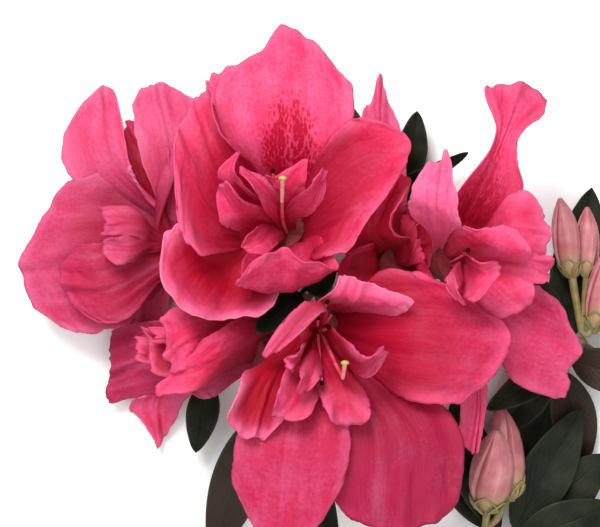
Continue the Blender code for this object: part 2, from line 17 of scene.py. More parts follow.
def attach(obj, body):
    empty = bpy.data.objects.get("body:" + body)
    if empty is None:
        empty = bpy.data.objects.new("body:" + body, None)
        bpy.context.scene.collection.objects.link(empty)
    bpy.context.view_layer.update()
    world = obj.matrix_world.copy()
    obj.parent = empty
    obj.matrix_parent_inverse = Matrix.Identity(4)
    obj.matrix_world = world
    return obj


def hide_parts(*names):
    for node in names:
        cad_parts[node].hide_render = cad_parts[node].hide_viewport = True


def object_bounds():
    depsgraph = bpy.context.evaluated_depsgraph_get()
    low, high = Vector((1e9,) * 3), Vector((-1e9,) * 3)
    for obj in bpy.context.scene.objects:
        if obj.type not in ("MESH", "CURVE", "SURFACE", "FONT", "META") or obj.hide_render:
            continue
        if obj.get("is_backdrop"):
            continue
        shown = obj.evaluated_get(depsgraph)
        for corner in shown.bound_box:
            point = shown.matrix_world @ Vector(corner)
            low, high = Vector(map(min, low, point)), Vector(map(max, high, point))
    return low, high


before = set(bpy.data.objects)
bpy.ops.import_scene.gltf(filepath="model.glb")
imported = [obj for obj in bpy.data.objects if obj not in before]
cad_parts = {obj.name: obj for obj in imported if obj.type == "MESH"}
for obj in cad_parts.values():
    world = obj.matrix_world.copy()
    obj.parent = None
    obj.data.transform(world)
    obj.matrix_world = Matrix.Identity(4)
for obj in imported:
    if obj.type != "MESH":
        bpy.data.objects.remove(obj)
solid_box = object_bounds()
print("solids:", sorted(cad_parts))

# %% [markdown]
# ## Measures
#
# Sprig places are in millimetres, with X to the right of the sprig, Y towards its topmost petal and Z up
# from the table. CENTRE is the middle of its footprint, which is the frame's origin. A function turns such
# a place into metres in the frame, so that the tables below can stay in round millimetres.

# %% Measures
MM = 0.001
CENTRE = Vector((10.4, -23.9, 0.0))
UP = Vector((0, 0, 1))


def in_frame(place):
    """A sprig place in millimetres as a place in the frame, in metres."""
    return (Vector(place) - CENTRE) * MM


# %% [markdown]
# ## The table, the light and the camera
#
# The sprig is seen from straight above, as a flat lay is. The camera is a long lens a little over half a
# metre up, so that the blooms hardly change size with their height. Most of the light comes from one wide
# soft sheet overhead. A smaller window beyond the top of the sprig gives the shadows their direction, and a
# weak fill from the near side lifts them. Petals are thin, so harder light would wash them out. The plain
# view transform keeps the pink as strong as it is, where a film-like one would grey it.

# %% Table, light and camera
EYE_HEIGHT = 565.0
PICTURE_WIDTH = 168.0
PICTURE_PLANE = 45.0
SENSOR = 36.0
SPRIG_MIDDLE = Vector((0, 0, 0.03))
# Where each light is in the frame, how wide it is, and its power in watts.
LIGHTS = {
    "window": ((-0.16, 0.40, 0.62), 0.3, 6.4),
    "fill": ((0.30, -0.50, 0.52), 0.6, 2.6),
    "overhead": ((-0.15, -0.15, 1.0), 1.4, 11.0),
}


def soft_light(name, place, size, power):
    """A square soft light at one place in the frame, turned towards the sprig."""
    lamp = bpy.data.lights.new(name, "AREA")
    lamp.size = size
    lamp.energy = power
    light = bpy.data.objects.new(name, lamp)
    bpy.context.scene.collection.objects.link(light)
    light.location = place
    light.rotation_euler = (SPRIG_MIDDLE - Vector(place)).to_track_quat("-Z", "Y").to_euler()


eye = bpy.data.cameras.new("eye")
eye.sensor_width = SENSOR
eye.lens = SENSOR * (EYE_HEIGHT - PICTURE_PLANE) / PICTURE_WIDTH
eye.clip_start = 0.01
camera = bpy.data.objects.new("eye", eye)
bpy.context.scene.collection.objects.link(camera)
camera.location = in_frame((0, 0, EYE_HEIGHT))
bpy.context.scene.camera = camera
print("lens", round(eye.lens, 1), "mm")

for name, row in LIGHTS.items():
    soft_light(name, *row)
bpy.context.scene.view_settings.view_transform = "Standard"

# %% [markdown]
# ## A short way to write finishes
#
# A finish is a web of shader nodes. Written node by node it is long and hides its sums, so one small class
# wraps a node's output and adds Math nodes for plain arithmetic, and another holds the material and adds
# any other node.

# %% Writing finishes
class Wire:
    """One output in a finish. Arithmetic on it adds Math nodes."""

    def __init__(self, finish, socket):
        self.finish = finish
        self.socket = socket

    def sum(self, operation, first, second):
        return self.finish.node("ShaderNodeMath", {"operation": operation}, {0: first, 1: second})

    def __add__(self, other):
        return self.sum("ADD", self, other)

    def __sub__(self, other):
        return self.sum("SUBTRACT", self, other)

    def __mul__(self, other):
        return self.sum("MULTIPLY", self, other)

    def __rsub__(self, other):
        return self.sum("SUBTRACT", other, self)

    __radd__ = __add__
    __rmul__ = __mul__


class Finish:
    """A material that is put together from nodes."""

    def __init__(self, name, **shader):
        self.material = bpy.data.materials.new(name)
        self.material.use_nodes = True
        self.nodes = self.material.node_tree.nodes
        self.links = self.material.node_tree.links
        self.shader = self.nodes["Principled BSDF"]
        for socket, value in shader.items():
            self.shader.inputs[socket.replace("_", " ")].default_value = value

    def node(self, kind, settings=None, sockets=None, output=0):
        made = self.nodes.new(kind)
        for name, value in (settings or {}).items():
            setattr(made, name, value)
        for name, value in (sockets or {}).items():
            self.feed(made.inputs[name], value)
        return Wire(self, made.outputs[output])

    def feed(self, socket, value):
        if isinstance(value, Wire):
            self.links.new(value.socket, socket)
        elif socket.type == "RGBA" and len(value) == 3:
            socket.default_value = (*value, 1)
        else:
            socket.default_value = value

    def attribute(self, name):
        """A number that the mesh keeps at each of its points."""
        return self.node("ShaderNodeAttribute", {"attribute_name": name}, output="Fac")

    def blend(self, share, first, second, kind="MIX"):
        """A colour between two colours, or another kind of mix of them."""
        settings = {"data_type": "RGBA", "blend_type": kind}
        return self.node("ShaderNodeMix", settings, {0: share, 6: first, 7: second}, output=2)

    def times(self, share, first, second):
        """A colour darkened by a second one, by some share."""
        return self.blend(share, first, second, "MULTIPLY")

    def ease(self, value, low, high):
        """0 up to low, 1 from high on, and a smooth rise between them."""
        smooth = {"interpolation_type": "SMOOTHSTEP"}
        return self.node("ShaderNodeMapRange", smooth, {0: value, 1: low, 2: high})

    def fade(self, value, low, high):
        """1 up to low, 0 from high on, and a smooth fall between them."""
        return 1 - self.ease(value, low, high)

    def off(self, value, middle):
        """How far a value is from a middle one, to either side."""
        return self.node("ShaderNodeMath", {"operation": "ABSOLUTE"}, {0: value - middle})

    def grain(self, where, scale, detail=3.0):
        """A soft random pattern, about 0.5 in the middle."""
        sockets = {"Vector": where, "Scale": scale, "Detail": detail}
        return self.node("ShaderNodeTexNoise", {}, sockets)

    def streaks(self, u, v, number, detail):
        """A soft random pattern in a piece's own map, stretched by how u and v are scaled."""
        return self.grain(self.spot(u, v, number), 1.0, detail)

    def across_and_along(self):
        """A place in the piece's own map, as two numbers from 0 to 1: across it and along it."""
        spot = self.node("ShaderNodeUVMap", {"uv_map": "lie"})
        return [self.node("ShaderNodeSeparateXYZ", {}, {0: spot}, axis) for axis in (0, 1)]

    def spot(self, x, y, z):
        """A place that is put together from three numbers."""
        return self.node("ShaderNodeCombineXYZ", {}, {0: x, 1: y, 2: z})

    def in_space(self):
        return self.node("ShaderNodeTexCoord", output="Object")

    def bump(self, height, strength, distance):
        sockets = {"Height": height, "Strength": strength, "Distance": distance}
        self.feed(self.shader.inputs["Normal"], self.node("ShaderNodeBump", {}, sockets))

    def colour(self, wire):
        self.feed(self.shader.inputs["Base Color"], wire)

    def let_light_through(self, share, colour):
        """Mix in light that comes through from the other side, as thin tissue lets it."""
        through = self.node("ShaderNodeBsdfTranslucent", {}, {"Color": colour})
        surface = Wire(self, self.shader.outputs[0])
        mixed = self.node("ShaderNodeMixShader", {}, {0: share, 1: surface, 2: through})
        self.links.new(mixed.socket, self.nodes["Material Output"].inputs["Surface"])


# %% [markdown]
# ## The table
#
# The table is a plain pale sheet with the faintest tooth of matt paper. It is one large square, so that its
# edge stays out of the picture.

# %% The table
TABLE_HALF = 2.0

paper = Finish("paper", Roughness=0.85)
tooth = paper.grain(paper.in_space(), 900)
paper.colour(paper.blend(tooth, (0.90, 0.895, 0.90), (0.94, 0.94, 0.945)))
paper.bump(tooth, 0.05, 0.0002)
bm = bmesh.new()
bmesh.ops.create_grid(bm, x_segments=1, y_segments=1, size=TABLE_HALF)
sheet = bpy.data.meshes.new("table")
bm.to_mesh(sheet)
bm.free()
sheet.materials.append(paper.material)
table = bpy.data.objects.new("table", sheet)
bpy.context.scene.collection.objects.link(table)
table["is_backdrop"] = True

# %% [markdown]
# ## What a petal is
#
# An azalea petal is a thin sheet on a narrow claw. It widens, cups or turns back, and ends in a ruffled
# margin. Sculpting some sixty of them by hand would be slow to correct. Here a petal is a few named places
# and shares, in a table that the solids use too, and one function lays a flat grid along them.

# %% Petals and the other parts of the sprig
@dataclass
class Petal:
    """One blade of a bloom, from the throat out to its tip.

    tip is where it ends, and mid a place that its midline passes on the way. left and right are
    where its margins stand widest, level with full of its length. rim is how far the blade runs in
    each of seven lanes, from its left side to its right. claw is how wide its foot is and swell how
    slowly it widens from there; waist is how much it draws in again before the tip, and taper how
    much narrower it ends. ruffle is how high its waves are, waves how many and phase where they
    lie.
    """

    tip: tuple
    mid: tuple
    left: tuple
    right: tuple
    rim: tuple = (0.66, 0.86, 0.96, 1.0, 0.96, 0.86, 0.66)
    full: float = 0.6
    taper: float = 0.08
    waist: float = 0.0
    swell: float = 1.5
    claw: float = 0.16
    ruffle: float = 1.1
    waves: float = 5.0
    phase: float = 0.0


@dataclass
class Petaloid(Petal):
    """A small petal inside a bloom: blunt, on a narrow foot, and hardly ruffled."""

    rim: tuple = (0.72, 0.9, 0.98, 1.0, 0.98, 0.9, 0.72)
    swell: float = 1.2
    ruffle: float = 0.3


@dataclass
class Bloom:
    """A double flower: its throat, the foot of its tube, where its stalk leaves the hub, and its
    petals.

    leaves_hub is the compass direction and the height, in degrees, at which the stalk sets out. The
    lobes are the big outer petals and the petaloids the small ones inside them.
    """

    throat: tuple
    base: tuple
    leaves_hub: tuple
    lobes: list
    petaloids: list
    stigma: tuple = ()


@dataclass
class Leaf:
    """A leaf blade from foot to tip: arch lifts its middle, fold raises its two halves, roll turns
    it over.
    """

    foot: tuple
    tip: tuple
    width: float
    arch: float = 2.0
    fold: float = 12.0
    roll: float = 0.0


@dataclass
class Bud:
    """A closed flower bud from foot to tip."""

    foot: tuple
    tip: tuple
    radius: float


# %% [markdown]
# The midline of a petal is a smooth curve through its places. It is walked in even steps, so that its cells
# are all of one length.

# %% Smooth lines
SPINE_STEPS = 32
FINE_STEPS = 200


def cubic(a, b, c, d, f):
    """The value at f, from 0 at b to 1 at c, on the smooth curve through four even values."""
    bend = (c - a) * f + (a * 2 - b * 5 + c * 4 - d) * f**2 + (b * 3 - a - c * 3 + d) * f**3
    return b + bend / 2


def catmull(points, t):
    """The point at t, from 0 to 1, on a smooth curve through the points."""
    ends = [points[0] * 2 - points[1], *points, points[-1] * 2 - points[-2]]
    spans = len(points) - 1
    k = min(int(t * spans), spans - 1)
    return cubic(*ends[k : k + 4], t * spans - k)


def evenly(points, steps):
    """Points at even distances along the smooth curve through the given ones."""
    fine = [catmull(points, k / FINE_STEPS) for k in range(FINE_STEPS + 1)]
    run = [0.0]
    for a, b in zip(fine, fine[1:]):
        run.append(run[-1] + (b - a).length)
    found, k = [], 0
    for step in range(steps + 1):
        want = run[-1] * step / steps
        while k < FINE_STEPS - 1 and run[k + 1] < want:
            k += 1
        found.append(fine[k].lerp(fine[k + 1], (want - run[k]) / (run[k + 1] - run[k])))
    return found


# %% [markdown]
# ## The lie of a petal
#
# Across the petal runs a shallow curve from its left margin to its right one through the midline, and along
# it the width grows from the claw. Waves, a turned margin and a little unevenness are added at right angles
# to that sheet. They are worked out from the place in the sheet, so a finer grid shows the same petal in
# more detail.

# %% The lie of a petal
RIM_RADIUS = 7.0


def span_share(s, petal):
    """The blade's width at s as a share of its widest: a narrow claw, then widest, then its waist
    and tip.
    """
    if s < petal.full:
        return petal.claw + (1 - petal.claw) * math.sin(math.pi / 2 * s / petal.full) ** petal.swell
    t = (s - petal.full) / (1 - petal.full)
    return 1 - petal.taper * t**2 - petal.waist * math.sin(math.pi * t) ** 2


def lane(rim, u):
    """How far the blade runs at u, from the seven lanes of its rim."""
    spot = (1 - u) * 3
    k = min(int(spot), 5)
    ends = (rim[0] * 2 - rim[1], *rim, rim[6] * 2 - rim[5])
    return cubic(*ends[k : k + 4], spot - k)


class Blade:
    """The surface of one petal, as a function of u across it (1 on its left, -1 on its right) and v
    along it.
    """

    def __init__(self, bloom, petal):
        self.p = petal
        throat, base = Vector(bloom.throat), Vector(bloom.base)
        tip, mid = Vector(petal.tip), Vector(petal.mid)
        axis = (throat - base).normalized()
        out = mid.lerp(tip, 0.3) - throat
        out = (out - axis * out.dot(axis)).normalized()
        if petal in bloom.lobes:
            line = [throat - axis * 11 + out * 2, throat + out * RIM_RADIUS, mid, tip]
        else:
            line = [throat - axis * 8, throat + axis * 3 + out * 1.5, mid, tip]
        self.line = evenly(line, SPINE_STEPS)
        centre = self.place(petal.full)
        to_left, to_right = Vector(petal.left) - centre, Vector(petal.right) - centre
        self.across = (to_left - to_right) / 2
        self.bend = (to_left + to_right) / 2

    def place(self, s):
        k = min(int(s * SPINE_STEPS), SPINE_STEPS - 1)
        return self.line[k].lerp(self.line[k + 1], s * SPINE_STEPS - k)

    def flat(self, u, v):
        """The blade before its margin is ruffled."""
        p = self.p
        corner = u**6 * v**6
        u *= 1 - 0.06 * corner
        v *= 1 - 0.04 * corner
        s = min(max(v * (1 - (1 - lane(p.rim, u)) * v), 0.0), 1.0)
        share = span_share(s, p)
        share *= 1 + 0.03 * math.sin(p.waves * 2.1 * s + p.phase + 2 * u) * u * u * v
        return self.place(s) + (self.across * u + self.bend * u * u) * share

    def height(self, u, v):
        """How far the blade stands off its flat lie: the waves of its margin, and a little
        unevenness.
        """
        p = self.p
        turn = math.atan2(v - 0.35, u)
        wave = math.sin(p.waves * turn + p.phase)
        wave += 0.55 * math.sin(1.9 * p.waves * turn + 2.3 * p.phase)
        edge = min((abs(u) ** 5 + v**5) ** 0.2, 1.0)
        spread = self.across.length
        uneven = noise.noise(Vector((u * 1.3 + p.phase, v * 2.1, spread)))
        return p.ruffle * wave * edge**4 * min(1.0, v * 1.8) + 0.05 * spread * uneven * v

    def point(self, u, v):
        """The place in the ruffled blade at u and v."""
        reach = 0.04
        along = self.flat(u, min(v + reach, 1)) - self.flat(u, max(v - reach, 0))
        side = self.flat(min(u + reach, 1), v) - self.flat(max(u - reach, -1), v)
        return self.flat(u, v) + along.cross(side).normalized() * self.height(u, v)


# %% [markdown]
# ## The blooms
#
# Each bloom has a throat and a base, which give the way it faces, its large outer lobes, and the small
# petals that stand in place of some of its stamens.

# %% The blooms
BLUNT = (1,) * 7

BLOOMS = {
    "bloom_top": Bloom(
        throat=(-4.9, 10.2, 34),
        base=(0.5, 2, 19.5),
        leaves_hub=(123, 47),
        lobes=[
            Petal((-4.5, 66.4, 48), (-3.5, 40, 50), (-24.5, 51, 45), (15.8, 47, 50),
                  (0.8, 0.83, 0.9, 1, 0.96, 0.89, 0.79), full=0.75),
            Petal((30, 28, 54), (12, 20, 46), (16, 41, 54), (14, 2, 52),
                  (0.72, 0.9, 1, 1, 0.87, 0.72, 0.68), full=0.7),
            Petal((-4.5, 3.5, 58), (-4, -8, 45), (11, -1, 52), (-18.5, -6.5, 50),
                  (0.63, 0.8, 0.92, 1, 1, 0.9, 0.66), full=0.62),
            Petal((-29, -15, 50), (-20, -3, 38), (-7, -12, 44), (-38.5, 9, 49),
                  (0.88, 0.88, 0.92, 1, 1, 0.97, 0.8), full=0.8),
            Petal((-31, 45, 50), (-22, 24, 44), (-31, 6, 54), (-19.5, 36.5, 54),
                  (0.72, 0.95, 1, 1, 0.94, 0.9, 0.88)),
            Petal((-24.5, 54, 40), (-17, 38, 40), (-25.5, 45, 39), (-14, 53, 40), ruffle=0.5),
        ],
        petaloids=[
            Petaloid((-22, 21.8, 56), (-16, 13.5, 50), (-20, 10, 46), (-14.5, 17.3, 57)),
            Petaloid((-16.8, 30.5, 58), (-18, 22, 54), (-20.3, 21, 50), (-15, 21.5, 58)),
            Petaloid((-16.5, 26.3, 60), (-8.5, 19, 57), (-11, 17.5, 60), (-6.5, 19.5, 50)),
            Petaloid((0.8, 28.8, 57), (-3.5, 22, 52), (-9.5, 25, 54), (1.8, 21.5, 54),
                     (0.6, 0.7, 0.83, 1, 0.98, 0.85, 0.7)),
            Petaloid((7.2, 26, 58), (3, 17, 52), (1.5, 20.3, 58), (4, 15, 48)),
            Petaloid((-16, 4, 52), (-11, 6.5, 50), (-8, 3.5, 50), (-13, 9.5, 52)),
        ],
        stigma=(-4.7, 23, 65),
    ),
    "bloom_front": Bloom(
        throat=(5, -18.5, 38),
        base=(5, -13.5, 24),
        leaves_hub=(285, 55),
        lobes=[
            Petal((17.5, -4.3, 60), (15, -10, 58), (9, -7, 59), (32, -11, 61),
                  (1, 1, 1, 1, 0.97, 0.95, 0.86), full=0.84),
            Petal((58, -21, 49), (32, -18, 56), (33, -2.3, 45), (38, -39, 52),
                  (0.68, 0.84, 0.99, 1, 0.97, 0.88, 0.78), full=0.65),
            Petal((27, -75.5, 46), (26, -46, 52), (46, -58, 46), (9, -55, 48),
                  (0.92, 0.97, 0.99, 1, 1, 0.98, 0.95), full=0.78, taper=-0.03),
            Petal((-4, -79, 46), (-1, -48, 52), (14, -53, 54), (-20, -57, 48),
                  (0.81, 0.92, 0.97, 1, 1, 0.9, 0.74), full=0.7),
            Petal((-14, -48.5, 54), (-8, -32, 54), (-3, -40, 54), (-17.5, -35, 60),
                  (0.75, 0.9, 0.98, 1, 1, 0.93, 0.8), full=0.65, swell=0.8),
        ],
        petaloids=[
            Petaloid((-4.5, -26, 60), (0, -24.5, 58), (-1.5, -29, 58), (0, -24, 60)),
            Petaloid((-0.5, -35.5, 60), (3.5, -28, 60), (5.5, -30, 57), (0, -29.5, 62)),
            Petaloid((-6.5, -42.3, 57), (-1, -36, 57), (4.5, -38, 56), (-5.3, -32, 58)),
            Petaloid((24, -23.5, 60), (15, -28.5, 57), (14.5, -22.5, 66), (15.5, -29.5, 52)),
            Petaloid((12.5, -44.3, 57), (11, -34, 58), (18.7, -38, 57), (5.7, -37.5, 57)),
            Petaloid((-10, -26, 57), (4.5, -10.5, 60), (0.5, -19, 59), (-5.5, -16.5, 60),
                     full=0.75),
        ],
        stigma=(12, -26.5, 69),
    ),
    "bloom_right": Bloom(
        throat=(45, 1, 34),
        base=(37.5, -2.5, 20.5),
        leaves_hub=(-35, 0),
        lobes=[
            Petal((61.5, 50.3, 47), (54.5, 31, 53), (43.5, 21, 50), (62.3, 20, 44),
                  (1, 1, 1, 1, 0.98, 0.94, 0.86), full=0.5, taper=-0.55, waist=0.75),
            Petal((40.5, 31.2, 56), (38, 15, 58), (30.5, 18, 52), (43.3, 14, 60),
                  (0.7, 0.88, 0.93, 1, 0.88, 0.74, 0.6), swell=2.4),
            Petal((70, 9, 44), (59, 10, 46), (63, 21, 46), (67, 0, 44),
                  (0.78, 0.93, 0.99, 1, 0.97, 0.9, 0.75), full=0.75),
            Petal((80.5, -26, 30), (62, -18, 36), (73.5, -9.5, 32), (67, -36.7, 30),
                  (0.72, 0.85, 0.98, 1, 0.96, 0.97, 0.95), full=0.7),
            Petal((49, -54, 36), (50.5, -36, 38), (52, -47, 37), (44.8, -49, 37),
                  (0.97, 0.99, 1, 1, 0.98, 0.94, 0.88), full=0.85),
        ],
        petaloids=[
            Petaloid((56, 10.5, 58), (52, 5, 55), (45, 10.5, 55), (64.5, 1.5, 55),
                     (0.62, 0.8, 0.93, 1, 1, 0.88, 0.66)),
            Petaloid((69.8, -2.5, 46), (63, 0, 48), (66, 2.5, 48), (64.5, -6, 46)),
            Petaloid((55, -1, 58), (49, -3, 58), (46.5, 2, 58), (45.5, -10, 58)),
            Petaloid((61, -14, 43), (54, -8, 45), (64, -4, 46), (48, -13, 44)),
            Petaloid((44.5, -11.5, 60), (41.8, -3, 59), (43.3, -6.5, 60), (40, -5, 59)),
        ],
    ),
    "bloom_far_left": Bloom(
        throat=(-39.5, 6.9, 22),
        base=(-24, 3, 14),
        leaves_hub=(165, 0),
        lobes=[
            Petal((-56, 52.5, 22), (-53, 29, 28), (-70.5, 34, 20), (-49, 30, 28),
                  (0.77, 0.9, 0.98, 1, 0.9, 0.67, 0.5), full=0.7),
            Petal((-40, 52.3, 24), (-37, 34, 30), (-50, 47, 22), (-26, 44, 26),
                  (0.88, 0.98, 1, 1, 0.99, 0.97, 0.93), full=0.88, swell=2.5),
            Petal((-83, 2, 16), (-63, 4, 22), (-61, -20.5, 18), (-58, 27, 23),
                  (0.78, 0.93, 0.98, 1, 0.92, 0.87, 0.79)),
            Petal((-69.5, -5, 25), (-56, -6, 28), (-58, -18, 25), (-63, 6, 28),
                  (0.75, 0.95, 1, 1, 1, 0.92, 0.8), full=0.75),
            Petal((-50.5, 42, 18), (-43, 26, 22), (-52, 30, 17), (-38, 33, 22)),
            Petal((-50, -24, 1.2), (-47, -10, 10), (-40, -14, 6), (-58, -12, 4)),
        ],
        petaloids=[
            Petaloid((-56, 12, 34), (-46, 12, 32), (-52, 7.8, 32), (-53, 16.8, 34),
                     BLUNT, full=0.8),
            Petaloid((-38, 33.5, 33), (-37, 24, 33), (-39, 28, 32), (-35.5, 28, 33)),
            Petaloid((-57, 5, 32), (-48, 4, 32), (-50, 0, 31), (-51, 8.5, 32)),
        ],
    ),
    "bloom_low_left": Bloom(
        throat=(-15, -25, 25),
        base=(-4.5, -21.5, 17),
        leaves_hub=(215, 10),
        lobes=[
            Petal((-42.7, -56.6, 3), (-41.5, -38, 10), (-33.8, -40, 8), (-50.3, -41, 8),
                  (0.82, 0.88, 0.95, 1, 0.93, 0.82, 0.74), full=0.66, taper=0.6, swell=0.8),
            Petal((-59, -31.5, 8), (-44, -27, 14), (-54.5, -42.5, 7), (-55.5, -19.5, 9),
                  (1, 1, 0.98, 0.95, 0.96, 0.97, 0.96), full=0.9, swell=0.9, ruffle=1.2),
            Petal((-38.8, -26.5, 35), (-31, -20.5, 39), (-29, -29.5, 35), (-34, -13, 33),
                  (0.8, 0.92, 0.98, 1, 0.95, 0.9, 0.8), claw=0.8),
            Petal((-38.3, -30, 37), (-24, -26.5, 40), (-25, -33, 34), (-21, -17.5, 38),
                  (0.93, 0.99, 0.97, 0.92, 0.84, 0.75, 0.64), full=0.45, claw=0.85, ruffle=0.4),
            Petal((-34, -35, 28), (-24, -33.5, 27), (-24, -37.8, 25), (-25, -29, 27), full=0.5,
                  claw=0.7, ruffle=0.3),
        ],
        petaloids=[
            Petaloid((-43.5, -23, 32), (-37, -25, 30), (-39.5, -33, 31), (-42, -19, 33),
                     BLUNT, full=0.85),
            Petaloid((-47.5, -25, 29), (-41, -26, 28), (-44, -29, 28), (-45, -21, 29),
                     BLUNT, full=0.9),
            Petaloid((-41.5, -21, 35), (-35, -21, 34), (-39, -23, 34), (-38.5, -18.3, 35),
                     BLUNT, full=0.8),
        ],
    ),
    "bloom_behind": Bloom(
        throat=(29, -1, 27),
        base=(22, 0, 13),
        leaves_hub=(45, -10),
        lobes=[
            Petal((26, 24.5, 42), (21, 10, 40), (12, 4, 36), (29.5, 8, 42),
                  (0.7, 0.8, 0.9, 0.97, 1, 0.96, 0.8), full=0.45, claw=0.8),
            Petal((36.6, 8.8, 28.5), (33, 4.5, 31), (30.5, 16.5, 32), (34.4, -3.5, 29),
                  ruffle=0.4),
            Petal((23.2, 54.8, 25), (23, 38, 28), (18, 42, 25), (28.3, 41, 25),
                  (0.74, 0.82, 0.9, 1, 0.93, 0.86, 0.76), full=0.7, swell=1),
            Petal((10.5, -3, 36), (20, -2, 35), (20, -9.5, 34), (19, 6, 37), ruffle=0.5),
            Petal((38.5, -5.5, 32), (34, -3, 32), (35, 1, 32), (33.5, -9, 32), ruffle=0.4),
        ],
        petaloids=[
            Petaloid((33, 12, 34), (31, 8, 34), (29, 12, 35), (33.5, 8, 33)),
            Petaloid((35, 4, 32), (33.5, 3, 32), (33.5, 7, 33), (35, 1, 32)),
        ],
    ),
}


# %% [markdown]
# ## Leaves, shoots and buds
#
# The leaves grow in whorls at the ends of short twigs, and the buds stand on the two long shoots.

# %% Leaves, shoots and buds
HUB = Vector((5.6, -6.0, 13.0))
HUB_RADIUS = 4.4
GAP = 0.35
STALK_RADIUS = 1.1
TUBE_RADII = (2.6, 3.2, 4.6)
SHOOT_TIPS = {"near_shoot": Vector((54, -82, 10)), "far_shoot": Vector((84, -24, 9))}

MAIN_STEM = ([(39.2, -113.5, 3), (31, -90, 4.5), (16, -45, 7), HUB], (3.0, 2.7, 2.3, 2.2))
SHOOTS = {
    "near_shoot": ([(36, -93, 6), (45, -87, 9), (54, -82, 10)], (1.5, 1.4, 1.3)),
    "far_shoot": ([(42, -104, 4), (80, -97, 3), (100, -62, 4), (96, -34, 7), (84, -24, 9)],
                  (1.8, 1.6, 1.4, 1.3)),
}

LEAF_MASSES = {
    "upper_leaves": (
        [[(6.3, -1.8, 11), (10, 6, 6), (20, 16, 5), (31, 22, 5)]],
        [
            Leaf((32, 22, 5), (35, 45.5, 10), 9.5, arch=1),
            Leaf((20, 20, 5), (50, 33, 13), 6, roll=30),
            Leaf((18, 18, 5), (42, 22, 5), 10),
            Leaf((18, 18, 5), (-6, 32, 2), 12),
            Leaf((22, 18, 5), (12, 51, 1.2), 11),
        ],
    ),
    "centre_leaves": (
        [[(2.3, -6.6, 16.4), (1, -8, 20)]],
        [
            Leaf((1, -8, 20), (-12.5, -19.5, 37), 11),
            Leaf((1, -8, 20), (10.5, -0.5, 26), 10),
        ],
    ),
    "lower_leaves": (
        [
            [(3.1, -9.5, 11), (-4, -22, 7), (-10, -40, 5)],
            [(-1, -17, 8.5), (-14, -26, 6), (-26, -33, 6)],
        ],
        [
            Leaf((-27, -33, 6), (-31.2, -56.5, 10), 10),
            Leaf((-10, -40, 5), (-27, -89, 2), 16),
            Leaf((-10, -40, 5), (11, -84, 14), 14),
            Leaf((-20, -30, 6), (-36, -10, 2), 11),
            Leaf((-5, -25, 6), (4, -60, 2), 12),
        ],
    ),
    "near_leaves": (
        [[(56.5, -82.9, 9.4), (63, -84, 8)]],
        [
            Leaf((60, -83.5, 8.7), (46, -40, 6), 15),
            Leaf((62, -84, 8), (84, -43, 10.5), 16, arch=1),
            Leaf((62, -84, 8), (94, -72, 10), 15, arch=3),
            Leaf((62, -84, 8), (76, -112, 7), 13),
            Leaf((62, -82.9, 7.9), (40, -55, 4), 13, arch=-1),
            Leaf((63, -84, 7.5), (92, -57, 10), 17, arch=0, fold=5),
        ],
    ),
    "far_leaves": (
        [[(81.8, -25.2, 9), (78, -29, 7)]],
        [
            Leaf((78, -29, 7), (86, -62, 2), 14),
            Leaf((78, -29, 7), (54, -42.5, 26), 10, arch=3),
            Leaf((78, -29, 7), (58, -52, 2), 13),
            Leaf((79, -28, 8), (104, -36, 16), 13),
            Leaf((78, -29, 7), (70, -2, 2), 12),
            Leaf((78, -29, 7), (52, -16, 2), 12),
            Leaf((78, -29.5, 6), (70, -62, 2), 14, arch=0, fold=5),
            Leaf((79.5, -27.5, 6), (88.5, 23, 1.5), 17, arch=0, fold=6),
        ],
    ),
}

# How thick a bud is on its way from foot to tip, as shares of its radius.
BUD_SHAPE = (0.42, 0.78, 0.96, 1.0, 0.97, 0.84, 0.56, 0.14)

BUD_CLUSTERS = {
    "near_buds": (
        (55, -79, 11.5),
        [Bud((55.4, -72, 17), (57, -48.3, 26), 6.5), Bud((62, -68, 18.5), (58.8, -41.5, 21), 5.2)],
    ),
    "far_buds": (
        (84, -20.2, 10),
        [
            Bud((81, -3, 11), (77.1, 19.4, 14), 4.2),
            Bud((86, -3, 10), (85.5, 16.8, 12), 3.8),
            Bud((88, -19, 11), (91, 4, 14), 4.2),
        ],
    ),
}


class LeafBlade:
    """The surface of a leaf: a short stalk, then an oval blade folded up a little along its midrib."""

    def __init__(self, leaf):
        self.leaf = leaf
        self.foot, self.end = Vector(leaf.foot), Vector(leaf.tip)
        self.along = (self.end - self.foot).normalized()
        side = UP.cross(self.along).normalized()
        self.side = Matrix.Rotation(math.radians(leaf.roll), 3, self.along) @ side
        self.up = self.along.cross(self.side)

    def point(self, u, v):
        leaf = self.leaf
        blade = max(v - 0.1, 0.0) / 0.9
        half = 0.5 + (0.5 * leaf.width - 0.5) * math.sin(math.pi * blade**0.85) ** 0.8
        half *= 1 - 0.75 * max(v - 0.96, 0) / 0.04
        rise = math.sin(math.pi * v) * leaf.arch + half * abs(u) * math.sin(math.radians(leaf.fold))
        middle = self.foot.lerp(self.end, v)
        return middle + self.side * half * u * math.cos(math.radians(leaf.fold)) + self.up * rise


def away(az, el):
    """The unit vector at that compass direction and height above the table."""
    a, e = math.radians(az), math.radians(el)
    return Vector((math.cos(a) * math.cos(e), math.sin(a) * math.cos(e), math.sin(e)))


# %% [markdown]
# ## Building helpers
#
# Every soft piece starts as a grid in a bmesh. Before its points move, each point's place on the grid is
# kept as a map, with the numbers that its finish needs, and a Solidify modifier then gives the sheet its
# real thickness.

# %% Building helpers
MARKS = ("edge", "deep", "pale", "tone", "blotch", "number")


